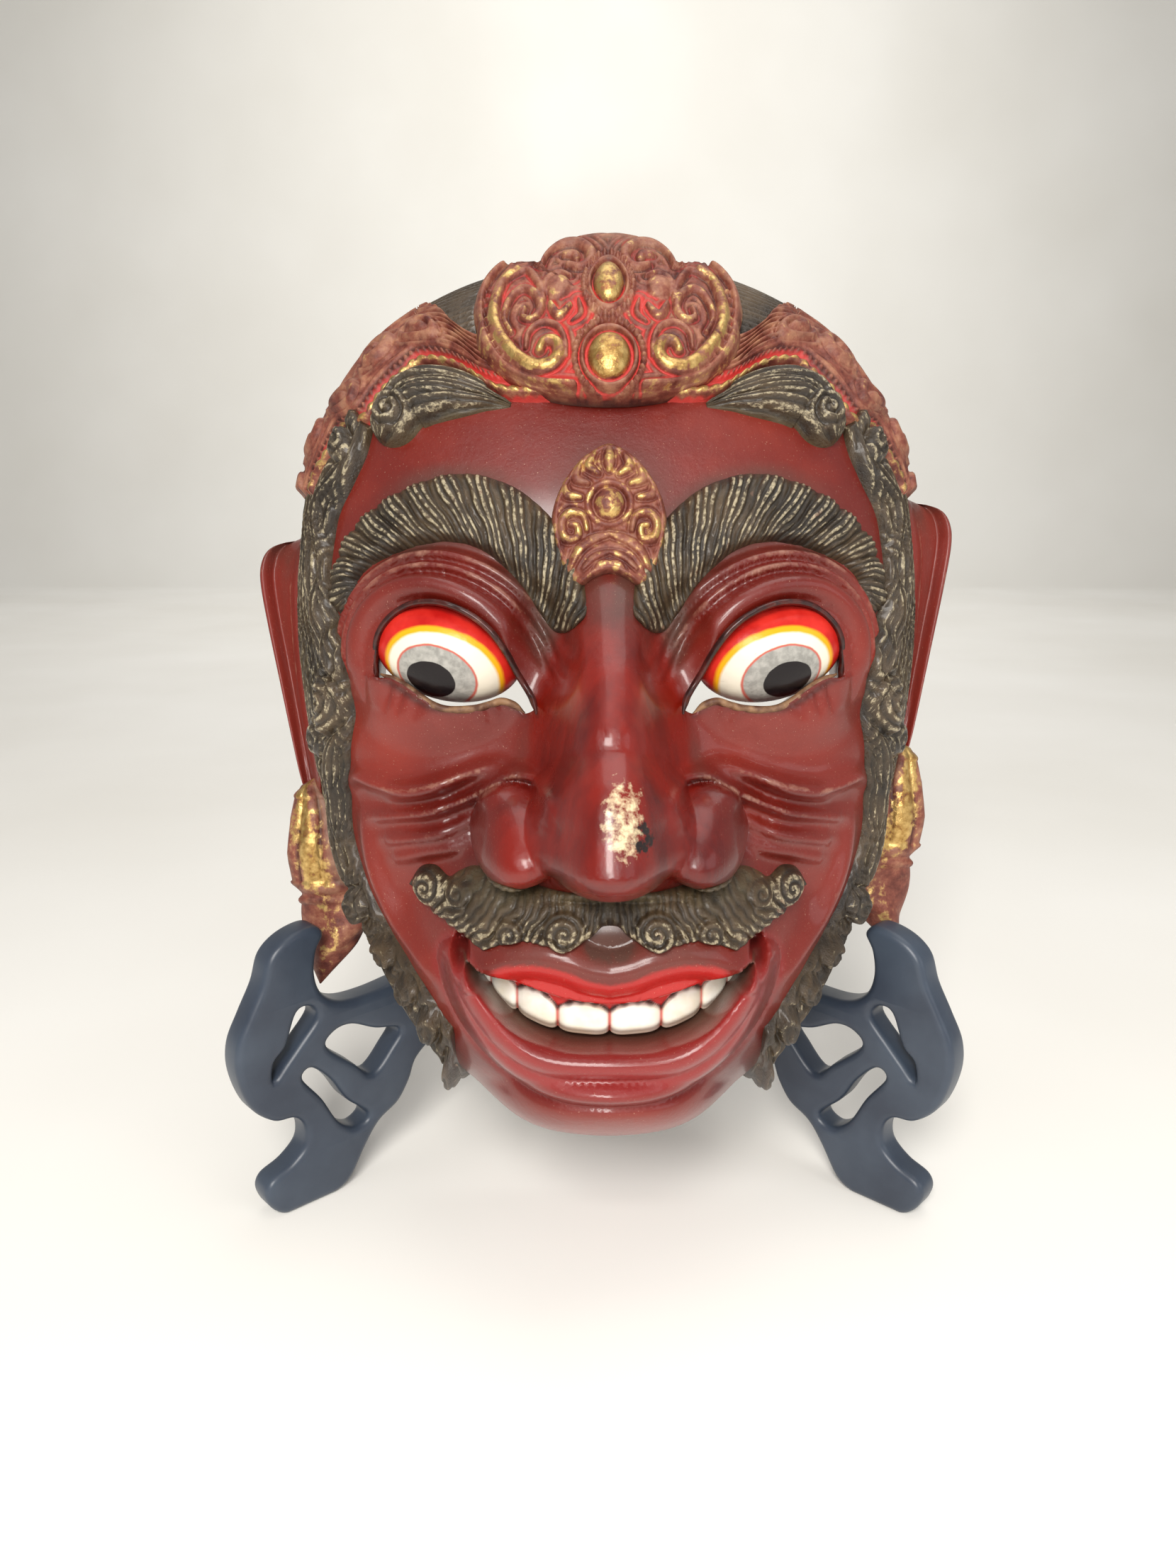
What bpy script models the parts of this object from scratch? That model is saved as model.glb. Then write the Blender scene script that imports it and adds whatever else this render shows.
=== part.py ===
"""Carved and painted dance mask on its cross-lapped wooden stand.

The mask is one hollow block of carved wood: face, hair, headband, crest, ears
and ear pendants. It leans back in a stand of two pierced scroll boards that
lap over each other behind it. The face looks towards -Y.

Carving is worked out in the mask's own axes, in millimetres:
x to the right, v up the face from the chin, w forward from the flat rear rim.
"""
import math

import bmesh
import bpy
import numpy as np
from mathutils import Matrix

MM = 0.001

# --- the mask block ---------------------------------------------------------
HEIGHT = 248.0          # rear rim, chin to top of head
HALF_WIDTH = 88.0       # rear rim, widest, at the temples
DEPTH = 68.0            # dome of the face over the rim plane
MIDDLE = 118.0          # height on the face that the dome is centred on
SQUARENESS = 2.4        # roundness of the dome's sections
WALL = 9.0              # wood left at the rim when the back is hollowed
GRID_OUTSIDE = 132      # squares across the outer skin before it is thinned out
GRID_INSIDE = 44
BLOCK_TRIANGLES = 4750

# --- how it sits ------------------------------------------------------------
LEAN = math.radians(12.0)
MASK_X = 2.2            # rear rim at the chin; the mask sits right of the stand's middle
CHIN_Y = -10.3
CHIN_Z = 29.5

# --- features, height up the face and distance from the midline -------------
NOSE_TIP = (0.0, 95.0)
NOSE_RISE = 36.0
EYE = (44.5, 129.0)
EYE_RADII = (18.0, 14.0)
SLIT_WIDTH = 3.2
MOUTH_CORNER = (38.5, 57.0)
MOUTH_DEPTH = 15.0
CREST_MIDDLE = (0.0, 216.0)
CREST_THICK = 10.0
JEWEL = (0.0, 161.0)
RIGHT_SIDE_LIFT = 11.0  # the wearer's left ear and pendant are carved higher

# --- the stand boards -------------------------------------------------------
BOARD_THICK = 9.5
BOARD_TURN = math.radians(42.0)     # from the X axis
STAND_X = -1.2          # midline of the stand; the whole object is centred on the origin
FOOT_X = 92.5           # sole of a front foot, out from that midline
FOOT_Y = -26.6
EDGE_ROUND = 2.2
LAP_HEIGHT = 58.0       # where the two half laps meet
LAP_GAP = 0.35


def clear_scene():
    for item in list(bpy.data.objects):
        bpy.data.objects.remove(item, do_unlink=True)


def new_collection(name):
    collection = bpy.data.collections.new(name)
    bpy.context.scene.collection.children.link(collection)
    return collection


def material(name, colour, roughness, metallic=0.0):
    mat = bpy.data.materials.new(name)
    mat.use_nodes = True
    shader = mat.node_tree.nodes["Principled BSDF"]
    shader.inputs["Base Color"].default_value = (*colour, 1.0)
    shader.inputs["Roughness"].default_value = roughness
    shader.inputs["Metallic"].default_value = metallic
    return mat


# --- small carving tools ----------------------------------------------------
def ease(low, high, value):
    """Smooth step from 0 at low to 1 at high."""
    t = np.clip((value - low) / (high - low), 0.0, 1.0)
    return t * t * (3.0 - 2.0 * t)


def mound(x, v, centre, radii):
    """Rounded bump of height 1 that dies out at its elliptical edge."""
    d = ((x - centre[0]) / radii[0]) ** 2 + ((v - centre[1]) / radii[1]) ** 2
    return np.clip(1.0 - d, 0.0, None) ** 2 * (3.0 - 2.0 * np.clip(1.0 - d, 0.0, 1.0))


def flow(points, steps=12):
    """Smooth line through a few points (Catmull-Rom)."""
    p = np.array([points[0], *points, points[-1]], dtype=float)
    line = []
    for i in range(1, len(p) - 2):
        for t in np.arange(steps) / steps:
            line.append(0.5 * (2 * p[i] + (p[i + 1] - p[i - 1]) * t
                        + (2 * p[i - 1] - 5 * p[i] + 4 * p[i + 1] - p[i + 2]) * t * t
                        + (3 * p[i] - p[i - 1] - 3 * p[i + 1] + p[i + 2]) * t ** 3))
    line.append(p[-2])
    return np.array(line)


def stroke(x, v, points):
    """Distance from a gouge stroke, and how far along it, from 0 to 1."""
    line = flow(points)
    nearest = np.full(np.shape(x), 1e9)
    along = np.zeros(np.shape(x))
    for i in range(len(line) - 1):
        a, b = line[i], line[i + 1]
        run = b - a
        t = np.clip(((x - a[0]) * run[0] + (v - a[1]) * run[1]) / (run @ run), 0.0, 1.0)
        d = np.hypot(x - a[0] - t * run[0], v - a[1] - t * run[1])
        closer = d < nearest
        nearest = np.where(closer, d, nearest)
        along = np.where(closer, (i + t) / (len(line) - 1), along)
    return nearest, along


def roll(distance, half_width):
    """Rounded section of a raised roll."""
    return np.clip(1.0 - (distance / half_width) ** 2, 0.0, 1.0) ** 0.8


def reach(angle, centre, lobes):
    """Outline of several round lobes as a distance from the centre."""
    direction = np.stack([np.cos(angle), np.sin(angle)], axis=-1)
    best = np.full(np.shape(angle), 1.0)
    for lobe_x, lobe_v, radius_x, radius_v in lobes:
        offset = np.array([centre[0] - lobe_x, centre[1] - lobe_v]) / (radius_x, radius_v)
        d = direction / (radius_x, radius_v)
        a = (d * d).sum(-1)
        b = (d * offset).sum(-1)
        c = (offset * offset).sum() - 1.0
        root = b * b - a * c
        out = (-b + np.sqrt(np.clip(root, 0.0, None))) / a
        best = np.where(root > 0, np.maximum(best, out), best)
    return best


def disc_grid(name, squares):
    """Square grid mesh and its points pressed into a round disc (radius, angle)."""
    mesh = bpy.data.meshes.new(name)
    bm = bmesh.new()
    bmesh.ops.create_grid(bm, x_segments=squares, y_segments=squares, size=1.0)
    bm.to_mesh(mesh)
    bm.free()
    co = np.empty(len(mesh.vertices) * 3)
    mesh.vertices.foreach_get("co", co)
    a, b = co.reshape(-1, 3)[:, 0], co.reshape(-1, 3)[:, 1]
    x = a * np.sqrt(1.0 - b * b / 2.0)
    y = b * np.sqrt(1.0 - a * a / 2.0)
    return mesh, np.minimum(np.hypot(x, y), 1.0), np.arctan2(y, x)


def set_points(mesh, x, v, w):
    mesh.vertices.foreach_set("co", np.stack([x, v, w], axis=-1).ravel())
    mesh.update()


def to_world(mesh):
    """Lean the mask back, set it at its height and change to metres."""
    up = (0.0, math.sin(LEAN), math.cos(LEAN))
    forward = (0.0, -math.cos(LEAN), math.sin(LEAN))
    turn = Matrix((
        (MM, 0.0, 0.0, MASK_X * MM),
        (0.0, up[1] * MM, forward[1] * MM, CHIN_Y * MM),
        (0.0, up[2] * MM, forward[2] * MM, CHIN_Z * MM),
        (0.0, 0.0, 0.0, 1.0)))
    mesh.transform(turn)


# --- the dome ---------------------------------------------------------------
def rim_reach(angle):
    """Distance from the middle of the face to the rear rim, in any direction."""
    half = flow([(0, 0), (19, 1.5), (32, 8), (47, 20), (58.5, 34), (66, 50), (73, 66),
                 (80, 88), (85, 112), (HALF_WIDTH, 140), (HALF_WIDTH - 1, 166),
                 (83, 189), (72, 211), (56, 228), (30, 243.5), (0, HEIGHT)], 8)
    line_angle = np.arctan2(half[:, 1] - MIDDLE, half[:, 0])
    line_reach = np.hypot(half[:, 0], half[:, 1] - MIDDLE)
    folded = np.arctan2(np.sin(angle), np.abs(np.cos(angle)))
    return np.interp(folded, line_angle, line_reach)


def dome(radius, angle, inset=0.0):
    """Point of the plain dome, set in from the outside by an even wall."""
    squareness = SQUARENESS + 0.7 * ease(0.2, 1.3, -angle) * ease(-2.9, -1.8, angle)
    spread = np.sin(radius * math.pi / 2) ** (2.0 / squareness)
    lift = np.cos(radius * math.pi / 2).clip(0.0) ** (2.0 / squareness)
    r = (rim_reach(angle) - inset) * spread
    return r * np.cos(angle), MIDDLE + r * np.sin(angle), (DEPTH - inset) * lift


# --- carved features --------------------------------------------------------
def nose(x, v):
    """Height of the nose over the dome: ridge, ball and two wings."""
    profile = np.interp(v, [71, 75, 80, 86, 95, 104, 115, 128, 141, 153],
                        [0, 10, 25, 34, NOSE_RISE, 33, 26, 16, 7, 0])
    half = np.interp(v, [71, 82, 96, 112, 128, 153], [17, 20, 21, 18, 13, 8])
    ridge = profile * np.clip(1.0 - (x / half) ** 2, 0.0, None) ** 1.4
    ball = 5.0 * mound(x, v, NOSE_TIP, (15, 17))
    wing = 22.0 * mound(x, v, (20.5, 90.0), (13.0, 14.5)) ** 0.6
    return np.maximum(ridge + ball, wing)


def eye_area(x, v):
    """Bulging lid with its folds, and the ball under it."""
    lid = 5.0 * mound(x, v, (EYE[0] - 1.0, EYE[1] + 6.0), (33, 30))
    ball_d = ((x - EYE[0]) / EYE_RADII[0]) ** 2 + ((v - EYE[1]) / EYE_RADII[1]) ** 2
    ball = 6.5 * np.sqrt(np.clip(1.0 - ball_d, 0.0, 1.0))
    folds = np.zeros_like(x)
    for step in range(3):
        grow = 5.0 + 4.5 * step
        distance, along = stroke(x, v, [(61.0 + 0.6 * grow, 130.0), (56.0, 140.0 + grow),
                                        (44.0, 144.0 + grow), (30.0 - 0.3 * grow, 134.0 + grow),
                                        (20.0 - 0.4 * grow, 120.0)])
        folds = np.maximum(folds, 1.6 * roll(distance, 2.4) * np.sin(np.pi * along) ** 0.5)
    return lid + ball + folds


def mouth_area(x, v):
    """Muzzle, lips, chin and the open mouth."""
    muzzle = 20.0 * mound(x, v, (0, 44), (64, 52))
    lower_lip, _ = stroke(x, v, [(39, 47), (31, 34), (16, 28), (0, 27)])
    upper_lip, _ = stroke(x, v, [(37, 58), (26, 53.5), (12, 49.5), (0, 48.5)])
    lips = 4.5 * roll(lower_lip, 7.0) + 3.0 * roll(upper_lip, 4.0)
    chin = 12.0 * mound(x, v, (0, 12), (38, 17))
    top = 46.5 + (MOUTH_CORNER[1] - 46.5) * (x / MOUTH_CORNER[0]) ** 2
    bottom = 36.0 + (MOUTH_CORNER[1] - 36.0) * (x / MOUTH_CORNER[0]) ** 2.6
    cavity = ease(0.0, 2.5, top - v) * ease(0.0, 2.5, v - bottom) * (x < MOUTH_CORNER[0])
    teeth = 0.6 * ease(0.0, 1.5, v - bottom - 2.5) * ease(31.0, 29.0, x)
    return muzzle + lips + chin - MOUTH_DEPTH * cavity * (1.0 - teeth)


def wrinkles(x, v):
    """Smile lines that fan out from the wings of the nose."""
    height = np.zeros_like(x)
    for step, drop in enumerate((0.0, 7.0, 14.0, 22.0)):
        distance, along = stroke(x, v, [(31 + 1.5 * step, 101 - 0.8 * drop),
                                        (45, 101 - 0.9 * drop), (60, 94 - drop),
                                        (72, 92 - 1.5 * drop)])
        height += 1.7 * roll(distance, 3.0) * np.sin(np.pi * np.clip(along, 0.0, 1.0)) ** 0.7
    return height


def hair_area(x, v):
    """Side hair, forelocks, curls, brows and moustache as raised rolls."""
    brow, t = stroke(x, v, [(11.5, 141), (19, 156), (30, 167), (44, 169), (60, 167),
                            (72, 158), (77, 147)])
    height = 4.6 * roll(brow, 9.6 - 3.2 * t ** 3)
    moustache, t = stroke(x, v, [(0, 67), (16, 65), (32, 65.5), (47, 71)])
    height = np.maximum(height, 6.5 * roll(moustache, 10.5 - 3.5 * t ** 2))
    forelock, t = stroke(x, v, [(27, 194), (38, 195), (48, 197), (56, 194)])
    height = np.maximum(height, 5.0 * roll(forelock, 4.0 + 3.5 * t))
    sidelock, t = stroke(x, v, [(62, 192), (72, 182), (79, 168), (83, 150), (80, 132), (84, 116)])
    height = np.maximum(height, 4.5 * roll(sidelock, 6.5))
    beard, t = stroke(x, v, [(78, 112), (77, 92), (70, 68), (60, 50), (47, 30)])
    return np.maximum(height, 3.5 * roll(beard, 6.0 - 2.0 * t))


def headband_area(x, v):
    """Low relief of the headband that sweeps from the crest to the ears."""
    lower = np.interp(x, [0, 26, 49, 67, 81, 90], [193, 193.5, 203, 187.5, 170.5, 160])
    upper = np.interp(x, [0, 34, 46, 60], [222, 222, 229, 260])
    return 3.4 * ease(0.0, 3.0, v - lower) * ease(0.0, 3.0, upper - v)


def jewel_area(x, v):
    """Pointed shield between the brows."""
    radius = np.hypot(x, v - JEWEL[1])
    angle = np.arctan2(v - JEWEL[1], x)
    edge = reach(angle, JEWEL, [(0, 158, 13.6, 12.5), (0, 166, 9.0, 14.5)])
    return 4.2 * ease(0.0, 2.2, edge - radius)


def outer_skin():
    mesh, radius, angle = disc_grid("outer", GRID_OUTSIDE)
    radius = radius ** 0.96
    x, v, w = dome(radius, angle)
    near_x, near_v, near_w = dome(np.clip(radius - 1e-3, 0.0, 1.0), angle)
    side = np.arctan2(near_w - w, np.hypot(x - near_x, v - near_v) + 1e-9)
    ax = np.abs(x)
    height = eye_area(ax, v) + wrinkles(ax, v)
    height = height + np.maximum(np.maximum(hair_area(ax, v), headband_area(ax, v)),
                                 jewel_area(ax, v))
    height = height * ease(1.0, 0.97, radius)
    across = height * np.sin(side)
    x = x + across * np.cos(angle)
    v = v + across * np.sin(angle)
    w = w + height * np.cos(side)
    rise = nose(ax, v)
    push = mouth_area(ax, v) * ease(1.0, 0.8, radius)
    set_points(mesh, x, v - 0.12 * rise, w + rise + push)
    return mesh


def inner_skin():
    mesh, radius, angle = disc_grid("inner", GRID_INSIDE)
    x, v, w = dome(radius, angle, WALL)
    hollow = 16.0 * mound(np.abs(x), v, (0, 92), (26, 36)) + 12.0 * mound(x, v, (0, 36), (48, 34))
    set_points(mesh, x, v, w + hollow * ease(1.0, 0.8, radius))
    mesh.flip_normals()
    return mesh


def hollow_block():
    """Outer skin, hollowed inside and joined along the flat rear rim."""
    bm = bmesh.new()
    for mesh in (outer_skin(), inner_skin()):
        bm.from_mesh(mesh)
        bpy.data.meshes.remove(mesh)
    edges = [edge for edge in bm.edges if edge.is_boundary]
    bmesh.ops.bridge_loops(bm, edges=edges)
    bmesh.ops.triangulate(bm, faces=bm.faces)
    bmesh.ops.recalc_face_normals(bm, faces=bm.faces)
    mesh = bpy.data.meshes.new("mask")
    bm.to_mesh(mesh)
    bm.free()
    return mesh


def crest_mesh():
    """Three-lobed plaque that stands up from the headband."""
    mesh, radius, angle = disc_grid("crest", 12)
    edge = reach(angle, CREST_MIDDLE, [(0, 228, 20, 20), (22, 219.5, 15.5, 16),
                                       (-22, 219.5, 15.5, 16), (0, 213, 33, 19)])
    x = CREST_MIDDLE[0] + radius * edge * np.cos(angle)
    v = CREST_MIDDLE[1] + radius * edge * np.sin(angle)
    up = v - 195.0
    w = 67.5 - 0.25 * up - 0.0068 * up ** 2 - 0.006 * x ** 2
    w = w - 2.5 * ease(0.86, 1.0, radius)
    set_points(mesh, x, v, w)
    return thick(mesh, CREST_THICK)


def thick(mesh, thickness):
    """Give an open surface its thickness, behind it."""
    source = bpy.data.objects.new("sheet", mesh)
    bpy.context.scene.collection.objects.link(source)
    shell = source.modifiers.new("thickness", "SOLIDIFY")
    shell.thickness = thickness
    shell.offset = -1.0
    shell.use_even_offset = False
    depsgraph = bpy.context.evaluated_depsgraph_get()
    solid = bpy.data.meshes.new_from_object(source.evaluated_get(depsgraph))
    bpy.data.objects.remove(source, do_unlink=True)
    return solid


def ear_mesh(side):
    """Leaf-shaped ear that flares back from the side hair, with a rolled edge."""
    mesh = bpy.data.meshes.new("ear")
    bm = bmesh.new()
    bmesh.ops.create_grid(bm, x_segments=5, y_segments=11, size=0.5)
    bm.to_mesh(mesh)
    bm.free()
    co = np.empty(len(mesh.vertices) * 3)
    mesh.vertices.foreach_get("co", co)
    a = co.reshape(-1, 3)[:, 0] + 0.5
    b = co.reshape(-1, 3)[:, 1] + 0.5
    lift = RIGHT_SIDE_LIFT if side > 0 else 0.0
    outer = np.interp(b, [0, 0.1, 0.4, 0.7, 0.85, 0.93, 1.0],
                      [89.5, 91.5, 96.0, 100.5, 102.0, 101.0, 95.0])
    inner = np.interp(b, [0, 0.5, 1.0], [83.0, 83.0, 84.0])
    v = 93.0 + 74.0 * b + 1.5 * np.sin(np.pi * a) * (b > 0.9) + lift
    x = inner + (outer - inner) * a
    w = 22.0 - 18.5 * a - 3.0 * np.sin(np.pi * a) + 3.5 * ease(0.8, 1.0, a)
    set_points(mesh, side * x, v, w)
    if side < 0:
        mesh.flip_normals()
    return thick(mesh, 5.0)


def pendant_mesh(side):
    """Bud-shaped ear pendant, ribbed above and drawn out to a hooked tip."""
    mesh = bpy.data.meshes.new("pendant")
    bm = bmesh.new()
    bmesh.ops.create_uvsphere(bm, u_segments=12, v_segments=13, radius=1.0)
    bm.to_mesh(mesh)
    bm.free()
    co = np.empty(len(mesh.vertices) * 3)
    mesh.vertices.foreach_get("co", co)
    p = co.reshape(-1, 3)
    t = (1.0 - p[:, 2]) / 2.0
    ring = np.sqrt(np.clip(1.0 - p[:, 2] ** 2, 1e-9, 1.0))
    drop = 62.0 * t
    outer = np.interp(drop, [0, 5, 12, 22, 32, 42, 50, 57, 62],
                      [87, 90.5, 94, 95.5, 94, 91.5, 90, 88.5, 86])
    inner = np.interp(drop, [0, 5, 12, 22, 32, 42, 50, 57, 62],
                      [85, 80, 76, 73, 70.5, 69, 75, 81, 85.5])
    thick_half = np.interp(t, [0, 0.08, 0.3, 0.6, 0.85, 1.0], [0, 5.5, 8.0, 6.5, 5.0, 0.5])
    back = np.interp(t, [0, 0.4, 0.6, 1.0], [12.0, 11.0, 7.5, 7.5])
    lift = RIGHT_SIDE_LIFT if side > 0 else 0.0
    x = (outer + inner) / 2 + (outer - inner) / 2 * p[:, 0] / ring
    w = back + thick_half * p[:, 1] / ring
    v = 97.0 - 62.0 * t + lift
    set_points(mesh, side * x, v, w)
    bm = bmesh.new()
    bm.from_mesh(mesh)
    bmesh.ops.recalc_face_normals(bm, faces=bm.faces)
    bm.to_mesh(mesh)
    bm.free()
    return mesh


def slit_cutter(side):
    """Crescent see-through slit that runs under the ball of an eye."""
    line = flow([(58.5, 127.0), (51.0, 118.5), (40.0, 115.5), (29.0, 118.5), (21.0, 116.5)], 6)
    mesh = bpy.data.meshes.new("slit")
    bm = bmesh.new()
    for i, (x, v) in enumerate(line):
        t = i / (len(line) - 1)
        half = SLIT_WIDTH * (0.25 + 0.3 * t) * math.sin(math.pi * (0.08 + 0.84 * t)) ** 0.5
        for w in (40.0, 100.0):
            for edge in (-half, half):
                bm.verts.new((side * x, v + edge, w))
    bm.verts.ensure_lookup_table()
    rows = len(line)
    for i in range(rows - 1):
        a, b = 4 * i, 4 * i + 4
        for p, q in ((0, 1), (1, 3), (3, 2), (2, 0)):
            bm.faces.new((bm.verts[a + p], bm.verts[a + q], bm.verts[b + q], bm.verts[b + p]))
    for start in (0, 4 * (rows - 1)):
        bm.faces.new([bm.verts[start + k] for k in (0, 1, 3, 2)])
    bmesh.ops.recalc_face_normals(bm, faces=bm.faces)
    bm.to_mesh(mesh)
    bm.free()
    return mesh


def thinned(mesh, triangles):
    """Fewer, larger triangles where the carving is smooth."""
    source = bpy.data.objects.new("dense", mesh)
    bpy.context.scene.collection.objects.link(source)
    thin = source.modifiers.new("thin_out", "DECIMATE")
    thin.ratio = triangles / len(mesh.polygons)
    depsgraph = bpy.context.evaluated_depsgraph_get()
    light = bpy.data.meshes.new_from_object(source.evaluated_get(depsgraph))
    bpy.data.objects.remove(source, do_unlink=True)
    return light


def build_mask(parts, cutters):
    finish = material("mask_lacquer", (0.17, 0.018, 0.014), 0.35)
    body = bpy.data.objects.new("mask", thinned(hollow_block(), BLOCK_TRIANGLES))
    body.data.materials.append(finish)
    parts.objects.link(body)
    for side in (-1, 1):
        for name, mesh in (("ear", ear_mesh(side)), ("pendant", pendant_mesh(side))):
            add_boolean(body, cutters, f"{name}_{side}", mesh, "UNION")
        add_boolean(body, cutters, f"slit_{side}", slit_cutter(side), "DIFFERENCE")
    add_boolean(body, cutters, "crest", crest_mesh(), "UNION")
    for item in (body, *(cut.object for cut in body.modifiers)):
        to_world(item.data)


def add_boolean(body, cutters, name, mesh, operation):
    tool = bpy.data.objects.new(name, mesh)
    tool.hide_render = True
    tool.display_type = "WIRE"
    cutters.objects.link(tool)
    cut = body.modifiers.new(name, "BOOLEAN")
    cut.operation = operation
    cut.solver = "EXACT"
    cut.object = tool


# --- the stand --------------------------------------------------------------
# Distance along the board from the front sole, and height over the floor.
BOARD_OUTLINE = [
    (-2, 0), (6, 0), (14, 0), (20, 3), (26, 12), (31, 18), (38, 22), (42.5, 28),
    (46, 35), (55, 39.5), (75, 41), (100, 38), (126, 29), (146, 15), (160, 4), (168, 0), (178, 0),
    (186, 3), (189, 10), (184, 20), (170, 36), (158, 55), (150, 80), (147, 106), (141, 122),
    (129, 127), (117, 121), (110, 104), (103, 82), (88, 69), (64, 64), (44, 62.8), (30, 61.5),
    (20, 62.3), (14, 66.5), (12, 73), (13, 80), (15.5, 85), (12, 88), (4, 86.5), (-2, 82),
    (-5, 74), (-9.5, 66), (-13.5, 58), (-14, 49), (-10.5, 38), (-4, 31.5), (2.5, 30), (5.5, 26),
    (5, 20), (0, 15.5), (-6.5, 12.8), (-8.5, 9), (-6.5, 3.5)]
BOARD_HOLES = [
    [(5.5, 63), (10, 63.5), (11.5, 59.5), (5.5, 53), (0.5, 48), (-3.2, 44.5), (-2.5, 50),
     (1.5, 54)],
    [(14.5, 49), (17, 53), (23, 53.5), (31, 49.5), (39.5, 46.5), (36, 41), (29, 35), (23, 40.5)],
    [(6, 41.5), (9, 44), (15, 38), (20, 29.5), (27, 22), (22.5, 19), (17, 23), (12, 32.5)],
    [(64, 54), (74, 57.5), (88, 57), (86, 50), (75, 47.5), (66, 48.5)]]


def closed_flow(points, steps):
    """Smooth closed line through the points of an outline."""
    ring = [points[-1], *points, points[0], points[1]]
    p = np.array(ring, dtype=float)
    line = []
    for i in range(1, len(p) - 2):
        for t in np.arange(steps) / steps:
            line.append(0.5 * (2 * p[i] + (p[i + 1] - p[i - 1]) * t
                        + (2 * p[i - 1] - 5 * p[i] + 4 * p[i + 1] - p[i + 2]) * t * t
                        + (3 * p[i] - p[i - 1] - 3 * p[i + 1] + p[i + 2]) * t ** 3))
    return np.array(line)


def board_frame(side):
    """Axes of a board: along it, up, and out of its face; its origin is the front sole."""
    along = (-side * math.cos(BOARD_TURN), math.sin(BOARD_TURN))
    across = (math.sin(BOARD_TURN), side * math.cos(BOARD_TURN))
    return Matrix((
        (along[0], 0.0, across[0], (STAND_X + side * FOOT_X) * MM),
        (along[1], 0.0, across[1], FOOT_Y * MM),
        (0.0, 1.0, 0.0, 0.0),
        (0.0, 0.0, 0.0, 1.0)))


def board_mesh(side):
    """Pierced scroll board, sawn to its outline, with its edges rounded over."""
    curve = bpy.data.curves.new("outline", "CURVE")
    curve.dimensions = "2D"
    curve.fill_mode = "BOTH"
    curve.extrude = (BOARD_THICK / 2 - EDGE_ROUND) * MM
    curve.bevel_depth = EDGE_ROUND * MM
    curve.bevel_resolution = 0
    curve.offset = -EDGE_ROUND * MM
    for points, steps in [(BOARD_OUTLINE, 2), *((hole, 2) for hole in BOARD_HOLES)]:
        line = closed_flow(points, steps) * MM
        spline = curve.splines.new("POLY")
        spline.points.add(len(line) - 1)
        for point, (along, height) in zip(spline.points, line):
            point.co = (along, max(height, 0.0), 0.0, 1.0)
        spline.use_cyclic_u = True
    shape = bpy.data.objects.new("outline", curve)
    bpy.context.scene.collection.objects.link(shape)
    depsgraph = bpy.context.evaluated_depsgraph_get()
    mesh = bpy.data.meshes.new_from_object(shape.evaluated_get(depsgraph))
    bpy.data.objects.remove(shape, do_unlink=True)
    bm = bmesh.new()
    bm.from_mesh(mesh)
    bmesh.ops.remove_doubles(bm, verts=bm.verts, dist=1e-5)
    bmesh.ops.transform(bm, matrix=board_frame(side), verts=bm.verts)
    bmesh.ops.recalc_face_normals(bm, faces=bm.faces)
    bm.to_mesh(mesh)
    bm.free()
    return mesh


def lap_cutter(side, low, high):
    """Half-lap slot: the room that the other board takes up."""
    bm = bmesh.new()
    bmesh.ops.create_cube(bm, size=1.0)
    across = BOARD_THICK + 2 * LAP_GAP
    stretch = Matrix.Diagonal((400.0 * MM, (high - low) * MM, across * MM, 1.0))
    lift = Matrix.Translation((0.0, (high + low) / 2 * MM, 0.0))
    bmesh.ops.transform(bm, matrix=board_frame(-side) @ lift @ stretch, verts=bm.verts)
    bmesh.ops.recalc_face_normals(bm, faces=bm.faces)
    mesh = bpy.data.meshes.new("lap")
    bm.to_mesh(mesh)
    bm.free()
    return mesh


def build_stand(parts, cutters):
    finish = material("stand_paint", (0.03, 0.045, 0.06), 0.38)
    slots = {-1: ("stand_board_left", LAP_HEIGHT, 200.0),
             1: ("stand_board_right", -50.0, LAP_HEIGHT + LAP_GAP)}
    for side, (name, low, high) in slots.items():
        board = bpy.data.objects.new(name, board_mesh(side))
        board.data.materials.append(finish)
        parts.objects.link(board)
        add_boolean(board, cutters, f"lap_{side}", lap_cutter(side, low, high), "DIFFERENCE")


clear_scene()
object_parts = new_collection("dance_mask_on_stand")
object_cutters = new_collection("cutters")
build_mask(object_parts, object_cutters)
build_stand(object_parts, object_cutters)
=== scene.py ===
"""Carved and painted dance mask, leaning in its stand of two lapped scroll boards."""
import math
import bmesh
import bpy
import numpy as np
from mathutils import Matrix, Vector


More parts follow.
